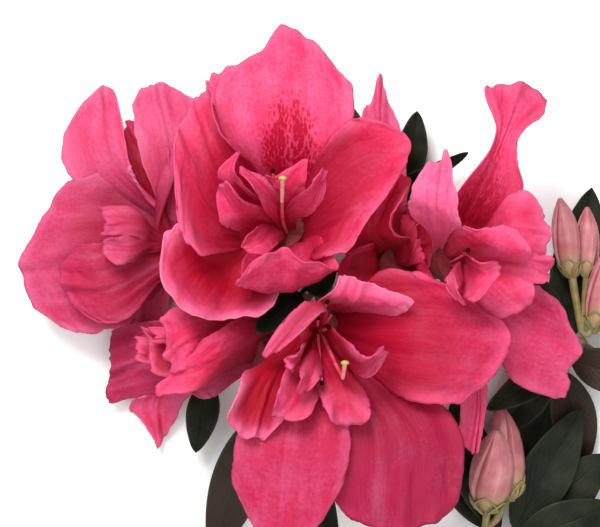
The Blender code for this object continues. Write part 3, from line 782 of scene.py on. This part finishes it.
def new_sheet(surface, cells, marks):
    """A petal or leaf as a curved grid with its own map and marks; edge is millimetres from its margin."""
    bm = bmesh.new()
    bmesh.ops.create_grid(bm, x_segments=cells[0], y_segments=cells[1], size=1)
    layers = {name: bm.verts.layers.float.new(name) for name in MARKS}
    lie = bm.loops.layers.uv.new("lie")
    half = (surface.point(1, 0.6) - surface.point(-1, 0.6)).length / 2
    length = (surface.point(0, 1) - surface.point(0, 0)).length
    for face in bm.faces:
        face.smooth = True
        for corner in face.loops:
            corner[lie].uv = ((corner.vert.co.x + 1) / 2, (corner.vert.co.y + 1) / 2)
    for vert in bm.verts:
        u, v = vert.co.x, (vert.co.y + 1) / 2
        vert[layers["edge"]] = min((1 - abs(u)) * half, (1 - v) * length)
        for name, value in marks.items():
            vert[layers[name]] = value
        vert.co = in_frame(surface.point(u, v))
    return bm


def gather(name, parts, thick=0.0):
    """One object from many bmeshes, listed under their finishes."""
    whole = bpy.data.meshes.new(name)
    all_parts = bmesh.new()
    for number, (finish, shapes) in enumerate(parts.items()):
        whole.materials.append(finish.material)
        for bm in shapes:
            for face in bm.faces:
                face.material_index = number
            loose = bpy.data.meshes.new("part")
            bm.to_mesh(loose)
            bm.free()
            all_parts.from_mesh(loose)
            bpy.data.meshes.remove(loose)
    all_parts.to_mesh(whole)
    all_parts.free()
    piece = bpy.data.objects.new(name, whole)
    bpy.context.scene.collection.objects.link(piece)
    if thick:
        wall = piece.modifiers.new("wall", "SOLIDIFY")
        wall.thickness = thick * MM
        wall.offset = 0
    print(name, len(whole.polygons), "faces")
    return piece


def dress(piece, slot, *nodes):
    """Tie a piece to the sprig's root body, and hide the solids that it stands for; slot is not used."""
    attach(piece, "root")
    if nodes:
        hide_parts(*nodes)


def limb(places, radii, sides, rings):
    """A closed tapering round limb along a smooth curve, as a bmesh."""
    line = evenly([Vector(p) for p in places], rings)
    bm = bmesh.new()
    along = (line[1] - line[0]).normalized()
    side = along.orthogonal().normalized()
    loops = []
    for k, centre in enumerate(line):
        ahead = (line[min(k + 1, rings)] - line[max(k - 1, 0)]).normalized()
        side = (side - ahead * side.dot(ahead)).normalized()
        over = ahead.cross(side)
        spot = k / rings * (len(radii) - 1)
        low = min(int(spot), len(radii) - 2)
        radius = radii[low] + (radii[low + 1] - radii[low]) * (spot - low)
        loops.append([])
        for n in range(sides):
            turn = 2 * math.pi * n / sides
            spoke = side * math.cos(turn) + over * math.sin(turn)
            loops[-1].append(bm.verts.new(in_frame(centre + spoke * radius)))
    for lower, upper in zip(loops, loops[1:]):
        for n in range(sides):
            m = (n + 1) % sides
            bm.faces.new((lower[n], lower[m], upper[m], upper[n]))
    bm.faces.new(loops[0][::-1])
    bm.faces.new(loops[-1])
    return bm


def ball(centre, radius):
    """A round knob, as a bmesh."""
    bm = bmesh.new()
    place = Matrix.Translation(in_frame(centre))
    bmesh.ops.create_icosphere(bm, subdivisions=2, radius=radius * MM, matrix=place)
    return bm


# %% [markdown]
# ## Crinkles
#
# A real petal's margin is never a clean curve: it is nicked and frilled, and the blade has soft lengthwise
# pleats beside its veins. The solids are too coarse for that, so the dressed petal adds it to the same
# blade. Its margin wanders to both sides of the solid's own, and never far from it.

# %% Crinkles
FRILL = 0.07
CRINKLE = 0.5
PLEAT = 0.16
GROOVE = 0.45


class FinePetal(Blade):
    """A petal with a frilled margin, a groove along its middle and soft pleats."""

    def ragged(self, spot, seed):
        """About -1 to 1, for how far the margin is nibbled in or frilled out at a spot along it."""
        where = Vector((spot, seed, self.across.length))
        return sum(a * noise.noise(where * f) for a, f in ((0.8, 1), (0.45, 2.7), (0.14, 7))) - 0.1

    def flat(self, u, v):
        u *= 1 + FRILL * abs(u) ** 4 * self.ragged(v * 5.5, 3.1 if u > 0 else 8.4)
        v *= 1 + FRILL * 0.6 * v**6 * self.ragged(u * 2.6, 5.7)
        return super().flat(u, v)

    def height(self, u, v):
        edge = min((abs(u) ** 5 + v**5) ** 0.2, 1.0)
        spread = self.across.length
        where = Vector((u * spread * 0.28, v * 9, self.p.tip[0]))
        crinkle = noise.noise(where) * CRINKLE + noise.noise(where * 2.3) * 0.56 * CRINKLE
        pleats = math.sin(u * (5 + spread * 0.5) + self.p.tip[1]) * PLEAT
        groove = -GROOVE * math.exp(-((u / 0.12) ** 2)) * math.sin(math.pi * v)
        relief = crinkle * (0.6 + edge**3) * v + (pleats + groove) * min(1.0, spread / 12)
        return super().height(u, v) + relief


# %% [markdown]
# ## The petals' finish
#
# A petal's colour changes from a dark red throat, deepened towards the claw with painted shade, to a clear
# pink, with fine veins that fan out from the claw and softly paler patches. Some blades are crimson for
# much of their inside, partly their own red and partly painted shade of the cup. Others are pale towards
# the tip, partly as painted highlight, with a painted glow of light through the thin tip and a bright line
# along the margin, which on pale blades is a painted highlight. Those that lie in shade or turned away are
# muted with painted shade, with painted highlights as paler streaks where they fold. The upper lobe of an
# azalea has a blotch of dark red speckles in its middle. The patterns follow the petal's own map, because
# they grow with it, and only the mottling is worked out in space. Part of the light comes through the
# tissue, always in the same deep red, which warms the petal wherever it is lit from behind.

# %% The petals' finish
PETAL_PINK = (0.80, 0.030, 0.125)
# Pale pink: partly the blade's own tint, partly painted highlight.
PALE_AND_LIT_PINK = (0.93, 0.185, 0.41)
# Painted glow of light through a thin pale tip.
PAINTED_GLOW_PINK = (0.94, 0.21, 0.42)
# Painted highlight along the folds of a blade in shade.
FOLD_HIGHLIGHT_PINK = (0.80, 0.20, 0.36)
# Crimson: partly the petal's own red inside, partly painted shade of the cup.
SHADED_CRIMSON = (0.38, 0.003, 0.02)
VEIN_RED = (0.65, 0.02, 0.11)
# Painted shade deep in the throat, near black.
THROAT_SHADE = (0.08, 0.004, 0.01)
BLOTCH_RED = (0.46, 0.004, 0.035)
MARGIN_RED = (0.60, 0.01, 0.12)
# On pale blades the margin line is a painted highlight of the thin rim.
MARGIN_HIGHLIGHT_PINK = (0.96, 0.4, 0.5)
# Painted shade that mutes a blade lying in shade or turned away.
PAINTED_SHADE_MUTE = (0.48, 0.46, 0.53)
THROUGH_PETAL = (0.74, 0.020, 0.085)
THROUGH_SHARE = 0.34


def blotch_strength(pink, u, v, number, patches, streaks):
    """How strong the speckles and lines of a lobe's blotch are at a place in its map."""
    sown = pink.spot(u * 52, v * 38, number)
    dots = pink.node("ShaderNodeTexVoronoi", {}, {"Vector": sown, "Scale": 1.0})
    off = pink.off(u, 0.49)
    fans = pink.fade(off + v * 0.34 + patches * 0.25, 0.36, 0.66)
    wings = pink.ease(off + patches * 0.08, 0.03, 0.1) * 0.55 + 0.45
    region = fans * wings * pink.ease(v, 0.22, 0.3) * pink.fade(v + patches * 0.2, 0.64, 0.92)
    spots = pink.fade(dots - region * 0.45, 0.1, 0.4) * pink.ease(region, 0.05, 0.3)
    lines = streaks * pink.fade(v + patches * 0.2, 0.42, 0.62)
    return spots * 0.75 + region * (lines * 0.4 + 0.36)


def petal_finish():
    pink = Finish("petal", Roughness=0.55, Specular_IOR_Level=0.2)
    u, v = pink.across_and_along()
    edge, deep, pale, tone, blotch, number = [pink.attribute(mark) for mark in MARKS]
    # Two patterns lie in space, and the veins, the fine lines and the folds run along the petal.
    patches = pink.grain(pink.in_space(), 95, 2)
    cells = pink.grain(pink.in_space(), 950, 3)
    fan = pink.streaks(u * 30, v * 3.0, number, 4)
    fine = pink.streaks(u * 95, v * 7, number, 2)
    folds = pink.streaks(u * 8, v * 1.4, number, 3)
    vein = pink.fade(pink.off(fan, 0.5), 0.0, 0.07)
    streaks = pink.ease(fan, 0.42, 0.62)

    # Clear pink, mottled from full to pale; a blade's pale share is partly its own tint and partly painted
    # highlight where it faces the light.
    mottle = pink.ease(patches * 0.45 + folds * 0.4 + cells * 0.45 + fine * 0.15, 0.55, 1.0)
    body = pink.blend(mottle * 0.65 + pale * 0.5 - 0.25, PETAL_PINK, PALE_AND_LIT_PINK)

    # Crimson inside and in the throat, partly the petal's own red and partly painted shade of the cup, then
    # the painted glow of light through a pale tip, the near-black painted shade of the claw, and the
    # blotch.
    inside = pink.ease(edge + patches * 4 - v * 5, -2.0, 1.2) * pink.fade(v - deep * 0.4, 0.25, 0.72)
    throat = pink.fade(v + patches * 0.2, 0.18, 0.5)
    red_and_painted_shade = deep * inside * (streaks * 0.12 + 0.84) + throat * (0.6 - pale * 0.4) + deep * 0.15
    body = pink.blend(red_and_painted_shade, body, SHADED_CRIMSON)
    body = pink.blend(vein * 0.1, body, VEIN_RED)
    # Painted glow of light through the thin pale tip and margin.
    painted_glow = pink.fade(edge + patches * 3, 1.5, 6.5) * pale * pink.ease(v, 0.45, 0.8)
    body = pink.blend(painted_glow * 0.7, body, PAINTED_GLOW_PINK)
    # Painted shade deep in the throat, near the claw.
    body = pink.blend(pink.fade(v, 0.03, 0.2) * 0.6, body, THROAT_SHADE)
    speckles = blotch_strength(pink, u, v, number, patches, streaks)
    body = pink.blend(speckles * blotch, body, BLOTCH_RED)

    # The line along the margin, a painted highlight on pale blades, then painted shade that mutes a blade
    # lying in shade or turned away, and painted highlights along its folds.
    margin = pink.blend(pink.ease(pale, 0.6, 0.9), MARGIN_RED, MARGIN_HIGHLIGHT_PINK)
    body = pink.blend(pink.fade(edge + fine * 0.5, 0.25, 0.7) * 0.3, body, margin)
    body = pink.times(tone, body, PAINTED_SHADE_MUTE)
    # Painted highlights where the folds of a muted blade catch the light.
    body = pink.blend(tone * pink.ease(folds, 0.52, 0.75) * 0.24, body, FOLD_HIGHLIGHT_PINK)
    pink.colour(body)
    pink.bump(fan * 0.3 + fine * 0.15 + cells * 0.3 + patches * 0.7 - vein * 0.1, 0.5, 0.0007)
    pink.let_light_through(THROUGH_SHARE, THROUGH_PETAL)
    return pink


petal_pink = petal_finish()

# %% [markdown]
# ## Stalks, stamens and pistil
#
# Behind the petals a dark red tube stands on its stalk, and a funnel, near black with painted shade, lines
# the throat. Out of the throat comes the style, pink below and cream above, with a small flat yellow-green
# stigma, and thin pink filaments that carry dark anthers. All these are round and slender, so they are
# limbs swept along smooth lines.

# %% Finishes of the small parts
def plain_growth(name, colour, second, scale, **shader):
    """A finish of two close colours in soft patches, with a faint relief."""
    growth = Finish(name, **shader)
    patches = growth.grain(growth.in_space(), scale, 4)
    growth.colour(growth.blend(growth.ease(patches, 0.35, 0.65), colour, second))
    growth.bump(patches, 0.4, 0.0003)
    return growth


tube_red = plain_growth("tube", (0.20, 0.008, 0.02), (0.34, 0.02, 0.05), 500, Roughness=0.6)
# Near-black funnel: painted shade deep in the throat.
funnel_shade = plain_growth("funnel", (0.12, 0.006, 0.01), (0.20, 0.015, 0.02), 500, Roughness=0.7)
filament_pink = plain_growth("filament", (0.62, 0.03, 0.09), (0.72, 0.10, 0.15), 400, Roughness=0.4)
anther_dark = plain_growth(
    "anther", (0.005, 0.002, 0.001), (0.018, 0.007, 0.004), 900, Specular_IOR_Level=0
)
style_cream = plain_growth("style", (0.74, 0.22, 0.22), (0.80, 0.36, 0.32), 500, Roughness=0.4)
stigma_lime = plain_growth("stigma", (0.42, 0.34, 0.10), (0.20, 0.18, 0.02), 700, Roughness=0.6)

# %% [markdown]
# ## The six blooms
#
# Every petal becomes a fine grid of its own, and the petals of one bloom are gathered into one piece,
# because they share a finish and a wall. What differs from lobe to lobe is only how the finish is mixed, so
# that is a short table of shares. The stalk, the tube and the slender parts in the throat are a second
# piece.

# %% The six blooms
LOBE_GRID = (48, 54)
PETALOID_GRID = (26, 30)
PETAL_WALL = 0.36
FUNNEL_RADII = (4.4, 5.4, 6.0)
STYLE_RADII = (0.55, 0.5)
STYLE_END_RADII = (0.5, 0.65)
STIGMA_RADIUS = 1.2
STIGMA_SHAPE = (1.0, 0.55, 0.6)
FILAMENT_RADII = (0.45, 0.35)
ANTHER_RADII = (0.3, 0.65, 0.65, 0.25)
ANTHER_HALF = 0.9

# How deep a red each lobe is inside, counting painted shade of the cup, how pale towards its tip and
# margin, counting painted highlight, how much painted shade mutes it and how strong its blotch, in the
# order of the bloom's lobes; the last row is for the small petals inside.
LOOKS = {
    "bloom_top": [(0.15, 0.58, 0, 1), (0.8, 0.35, 0.1, 0), (0.5, 0.4, 0, 0), (1, 0.9, 0, 0),
                  (0.8, 0.58, 0, 0.5), (0, 1, 0.2, 0), (0.45, 0.3, 0, 0)],
    "bloom_front": [(0.4, 0.9, 0, 0.8), (0.8, 0.4, 0.1, 0.8), (0.4, 0.1, 0.9, 0), (0.35, 0.4, 0.5, 0),
                    (1.15, 0.9, 0, 0), (0.9, 0.5, 0, 0)],
    "bloom_right": [(0.1, 0.58, 0, 0.7), (0, 1.2, 0, 0), (0.3, 0.8, 0, 0), (0.3, 0.6, 0.25, 0),
                    (0.4, 0.5, 0, 0), (0.45, 0.5, 0, 0)],
    "bloom_far_left": [(0.3, 0.95, 0.3, 0), (0.35, 0.95, 0.3, 0), (0.6, 0.9, 0.45, 0), (0.6, 0.2, 0.6, 0),
                       (0.9, 0.1, 0.5, 0), (0.3, 0.8, 0.4, 0), (0.7, 0.5, 0.4, 0)],
    "bloom_low_left": [(0.2, 0.6, 0.2, 0), (0.4, 0.2, 0.9, 0), (0.6, 0.4, 0, 0), (0.5, 0.3, 0, 0),
                       (0, 1, 0.5, 0), (1.5, 0.4, 0, 0)],
    "bloom_behind": [(0.9, 0.2, 0.1, 0), (1, 0, 0.1, 0), (0, 0.9, 0.2, 0), (1, 0, 0.2, 0),
                     (1, 0, 0.2, 0), (1, 0.1, 0.1, 0)],
}

# Where the end of each bloom's style bends up from, and where its visible anthers are.
STYLE_BENDS = {
    "bloom_top": [(-4.8, 12, 44), (-4.9, 17, 56)],
    "bloom_front": [(9, -26, 50), (11.6, -31, 62)],
}
ANTHERS = {
    "bloom_top": [(-7.4, 25.2, 60)],
    "bloom_front": [(4.9, -15, 56), (7.4, -10.5, 56), (7.8, -17.5, 56), (9.2, -13.5, 55), (6, -32.5, 60)],
    "bloom_right": [(45.6, 3.6, 60)],
}


def stigma(top):
    """The flattened knob at the end of a style."""
    cap = ball(top, STIGMA_RADIUS)
    middle = Matrix.Translation(-in_frame(top))
    bmesh.ops.scale(cap, vec=STIGMA_SHAPE, space=middle, verts=cap.verts)
    return cap


def heart(name, bloom):
    """A bloom's stalk and tube, its pistil and its stamens, listed under their finishes."""
    throat, base = Vector(bloom.throat), Vector(bloom.base)
    axis = (throat - base).normalized()
    inside = throat - axis * 5
    foot, start = [HUB + away(*bloom.leaves_hub) * (HUB_RADIUS + GAP + out) for out in (0, 1.5)]
    stalk = [foot, start, base.lerp(throat, -0.15), base.lerp(throat, 0.1)]
    tube = [base, base.lerp(throat, 0.3), base.lerp(throat, 0.6)]
    funnel = [base.lerp(throat, 0.5), throat - axis * 4, throat - axis * 1.5]
    parts = {tube_red: [limb(stalk, (STALK_RADIUS,) * 2, 12, 14), limb(tube, TUBE_RADII, 18, 8)]}
    parts |= {finish: [] for finish in (filament_pink, anther_dark, style_cream, stigma_lime)}
    # The funnel lining the throat is near black with painted shade.
    parts[funnel_shade] = [limb(funnel, FUNNEL_RADII, 24, 6)]
    if bloom.stigma:
        top = Vector(bloom.stigma)
        style = [inside, *(Vector(bend) for bend in STYLE_BENDS[name])]
        bend = style[-1]
        parts[filament_pink].append(limb(style, STYLE_RADII, 12, 20))
        parts[style_cream].append(limb([bend, bend.lerp(top, 0.5), top], STYLE_END_RADII, 12, 16))
        parts[stigma_lime].append(stigma(top))
    for place in ANTHERS.get(name, []):
        end = Vector(place)
        filament = [inside, inside.lerp(end, 0.5) + axis * 4, end]
        lean = (end - inside).normalized() * ANTHER_HALF
        parts[filament_pink].append(limb(filament, FILAMENT_RADII, 8, 16))
        parts[anther_dark].append(limb([end - lean, end, end + lean], ANTHER_RADII, 10, 6))
    return parts


# The solids keep clear of each other. Real petals don't, so one petal behind reaches on to the next bloom.
BLOOMS["bloom_behind"].lobes[1].tip = (41, 7.5, 28)

for name, bloom in BLOOMS.items():
    sheets = []
    for number, petal in enumerate(bloom.lobes + bloom.petaloids):
        lobe = number < len(bloom.lobes)
        look = LOOKS[name][min(number, len(bloom.lobes))]
        marks = dict(zip(("deep", "pale", "tone", "blotch"), look), number=number * 3.7 + len(name))
        cells = LOBE_GRID if lobe else PETALOID_GRID
        sheets.append(new_sheet(FinePetal(bloom, petal), cells, marks))
    petals = gather(name + "_petals", {petal_pink: sheets}, PETAL_WALL)
    dress(petals, "petal", name)
    inner = gather(name + "_heart", heart(name, bloom))
    dress(inner, "leaf")

# %% [markdown]
# ## The leaves
#
# An azalea leaf is a small dark oval with a sunken midrib and side veins that leave it at a slant. Its
# upper side is leathery with a dull gloss, its rim is a little paler, and older leaves turn brownish. It
# has no frill, so one small grid folded along its midrib is enough, and the veins are drawn by the finish.

# %% The leaves
LEAF_GRID = (16, 30)
LEAF_WALL = 0.4
TWIG_RADII = (1.0, 0.9)
LEAF_DARK = (0.006, 0.008, 0.005)
LEAF_GREEN = (0.017, 0.020, 0.011)
LEAF_OLD = (0.030, 0.018, 0.013)
LEAF_VEIN = (0.05, 0.055, 0.025)
LEAF_RIM = (0.06, 0.06, 0.02)
THROUGH_LEAF = (0.10, 0.16, 0.03)


def leaf_finish():
    green = Finish("leaf", Roughness=0.45, Specular_IOR_Level=0.1)
    u, v = green.across_and_along()
    off = green.off(u, 0.5)
    rib = green.fade(off, 0.0, 0.035)
    slant = green.node("ShaderNodeMath", {"operation": "SINE"}, {0: (v - off * 0.9) * 62})
    side = green.ease(slant, 0.8, 1.0)
    patches = green.grain(green.in_space(), 160, 4)
    pores = green.grain(green.in_space(), 1600, 3)
    old = green.ease(green.attribute("tone") + patches * 0.3, 0.6, 1.1)
    rim = green.fade(green.attribute("edge"), 0.2, 0.9)
    body = green.blend(green.ease(patches, 0.3, 0.7), LEAF_DARK, LEAF_GREEN)
    body = green.blend(old, body, LEAF_OLD)
    body = green.blend(side * 0.05 + rib * 0.22, body, LEAF_VEIN)
    body = green.blend(rim * 0.28, body, LEAF_RIM)
    green.colour(body)
    green.feed(green.shader.inputs["Roughness"], patches * 0.3 + 0.3)
    green.bump(pores * 0.3 + rib * -0.7 + side * -0.2 + patches * 0.6, 0.6, 0.0006)
    green.let_light_through(0.06, THROUGH_LEAF)
    return green


leaf_green = leaf_finish()
twig_brown = plain_growth("twig", (0.13, 0.085, 0.04), (0.22, 0.16, 0.07), 600, Roughness=0.7)

for order, (name, (twigs, leaves)) in enumerate(LEAF_MASSES.items()):
    blades = []
    for number, leaf in enumerate(leaves):
        tone = (number * 0.37 + order * 0.21) % 1.0
        blades.append(new_sheet(LeafBlade(leaf), LEAF_GRID, {"tone": tone}))
    foliage = gather(name + "_blades", {leaf_green: blades}, LEAF_WALL)
    dress(foliage, "leaf", name)
    stems = gather(name + "_twigs", {twig_brown: [limb(twig, TWIG_RADII, 12, 16) for twig in twigs]})
    dress(stems, "bark")

# %% [markdown]
# ## The buds
#
# A closed bud is a slim cone of petals wound round each other. Each turn ends in a seam that climbs in a
# slow spiral, so the bud is a swept limb whose wall steps up towards each seam and falls back behind it.
# Small pointed scales clasp its foot.

# %% The buds
SEAMS = 3
SEAM_TWIST = 0.35
FOOT_SCALES = 6
SCALE_GRID = (8, 12)
SCALE_WALL = 0.3
BUD_STALK_RADII = (1.0, 1.3)
BUD_ROSE = (0.50, 0.13, 0.17)
BUD_PINK = (0.68, 0.30, 0.30)
BUD_FOOT = (0.52, 0.38, 0.20)
SEAM_RED = (0.30, 0.02, 0.05)
SEAM_LIP = (0.80, 0.42, 0.40)
BUD_SHADE = (0.87, 0.84, 0.84)
THROUGH_BUD = (0.58, 0.20, 0.21)


def wound_bud(bud):
    """A closed bud as one smooth limb with spiral seams."""
    foot, tip = Vector(bud.foot), Vector(bud.tip)
    bm = limb([foot, foot.lerp(tip, 0.5), tip], [bud.radius * s for s in BUD_SHAPE], 48, 40)
    along = (tip - foot).normalized()
    side = along.orthogonal().normalized()
    over = along.cross(side)
    start = in_frame(foot)
    length = (tip - foot).length * MM
    layers = {name: bm.verts.layers.float.new(name) for name in ("edge", "tone")}
    for vert in bm.verts:
        spoke = vert.co - start
        climb = spoke.dot(along) / length
        turn = math.atan2(spoke.dot(over), spoke.dot(side)) / (2 * math.pi)
        wind = (turn * SEAMS + 0.001) % 1.0
        vert[layers["edge"]] = wind
        vert[layers["tone"]] = climb
        swell = 0.16 * wind**1.5 - 0.08
        middle = start + along * spoke.dot(along)
        wide = 1 + swell * min(1.0, 4 * climb) * min(1.0, 6 * (1 - climb))
        wound = Matrix.Rotation(climb * SEAM_TWIST * 2 * math.pi / SEAMS + bud.radius, 3, along)
        vert.co = middle + wound @ (vert.co - middle) * wide
    return bm


def foot_scales(bud):
    """The small pointed scales that clasp the foot of a bud."""
    foot, tip = Vector(bud.foot), Vector(bud.tip)
    along = (tip - foot).normalized()
    scales = []
    for k in range(FOOT_SCALES):
        out = Matrix.Rotation(2 * math.pi * k / FOOT_SCALES, 3, along) @ along.orthogonal().normalized()
        low = foot - along * 2 + out * 0.6
        high = foot.lerp(tip, 0.16 + 0.07 * (k % 2)) + out * bud.radius * 0.92
        level, across = UP.cross(high - low), along.cross(out)
        roll = math.degrees(level.angle(across))
        roll = roll if (high - low).dot(level.cross(across)) > 0 else -roll
        scale = Leaf(low, high, bud.radius * 1.25, arch=0.8, fold=-20, roll=roll)
        scales.append(new_sheet(LeafBlade(scale), SCALE_GRID, {"tone": k / FOOT_SCALES}))
    return scales


def bud_finish():
    blush = Finish("bud", Roughness=0.45)
    climb = blush.attribute("tone")
    wind = blush.attribute("edge")
    patches = blush.grain(blush.in_space(), 220, 4)
    streaks = blush.streaks(wind * 7, climb * 1.2, 0.0, 4)
    body = blush.blend(blush.ease(streaks * 0.7 + patches * 0.6, 0.5, 0.85), BUD_ROSE, BUD_PINK)
    body = blush.blend(blush.ease(climb + patches * 0.3, 0.2, 0.55), BUD_FOOT, body)
    body = blush.blend(blush.fade(wind, 0.02, 0.14) * 0.75, body, SEAM_RED)
    body = blush.blend(blush.ease(wind, 0.9, 0.99) * 0.4, body, SEAM_LIP)
    blush.colour(blush.times(1.0, body, BUD_SHADE))
    blush.bump(streaks * 0.6 + patches * 0.4, 0.4, 0.0005)
    blush.let_light_through(0.2, THROUGH_BUD)
    return blush


bud_blush = bud_finish()
bract_green = plain_growth("bract", (0.16, 0.17, 0.05), (0.30, 0.20, 0.09), 300, Roughness=0.5)

for name, (root, buds) in BUD_CLUSTERS.items():
    wound = gather(name + "_petals", {bud_blush: [wound_bud(bud) for bud in buds]})
    dress(wound, "bud", name)
    held = []
    for bud in buds:
        foot, tip = Vector(bud.foot), Vector(bud.tip)
        bend = Vector(root).lerp(foot, 0.5) - (tip - foot).normalized() * 1.5
        held.append(limb([root, bend, foot.lerp(tip, 0.1)], BUD_STALK_RADII, 12, 10))
    stalks = gather(name + "_stalks", {bract_green: held})
    dress(stalks, "bud")
    clasping = [scale for bud in buds for scale in foot_scales(bud)]
    scales = gather(name + "_scales", {bract_green: clasping}, SCALE_WALL)
    dress(scales, "bud")

# %% [markdown]
# ## The woody stem and shoots
#
# The stems are thin and round, with rough grey-brown bark and a little lichen. The solids have few sides,
# so each is swept again with more, in the same place, and its roughness is left to the finish.

# %% The stem and shoots
SHOOT_KNOB = 2.2
BARK_DARK = (0.07, 0.045, 0.025)
BARK_GREY = (0.21, 0.15, 0.09)
LICHEN = (0.26, 0.26, 0.17)


def bark_finish():
    bark = Finish("bark", Roughness=0.8)
    space = bark.in_space()
    plates = bark.grain(space, 420, 6)
    lichen = bark.grain(space, 130, 3)
    body = bark.blend(bark.ease(plates, 0.35, 0.65), BARK_DARK, BARK_GREY)
    body = bark.blend(bark.ease(lichen, 0.58, 0.7) * 0.5, body, LICHEN)
    bark.colour(body)
    bark.bump(plates, 0.9, 0.0012)
    return bark


bark_brown = bark_finish()
trunk = gather("main_stem_bark", {bark_brown: [limb(*MAIN_STEM, 24, 60), ball(HUB, HUB_RADIUS)]})
dress(trunk, "bark", "main_stem")
for name, shape in SHOOTS.items():
    knob = ball(SHOOT_TIPS[name], SHOOT_KNOB)
    shoot = gather(name + "_bark", {bark_brown: [limb(*shape, 18, 40), knob]})
    dress(shoot, "bark", name)

# %% [markdown]
# ## The size, and the end
#
# The sizes of the box of the solids and of the box of the dressed sprig are printed one after the other.
# The dressed sprig has to stay in the box of its solids.

# %% Sizes and the finish
seen_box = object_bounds()
for title, box in (("solids", solid_box), ("visual", seen_box)):
    print(title, [round(high - low, 4) for low, high in zip(*box)])
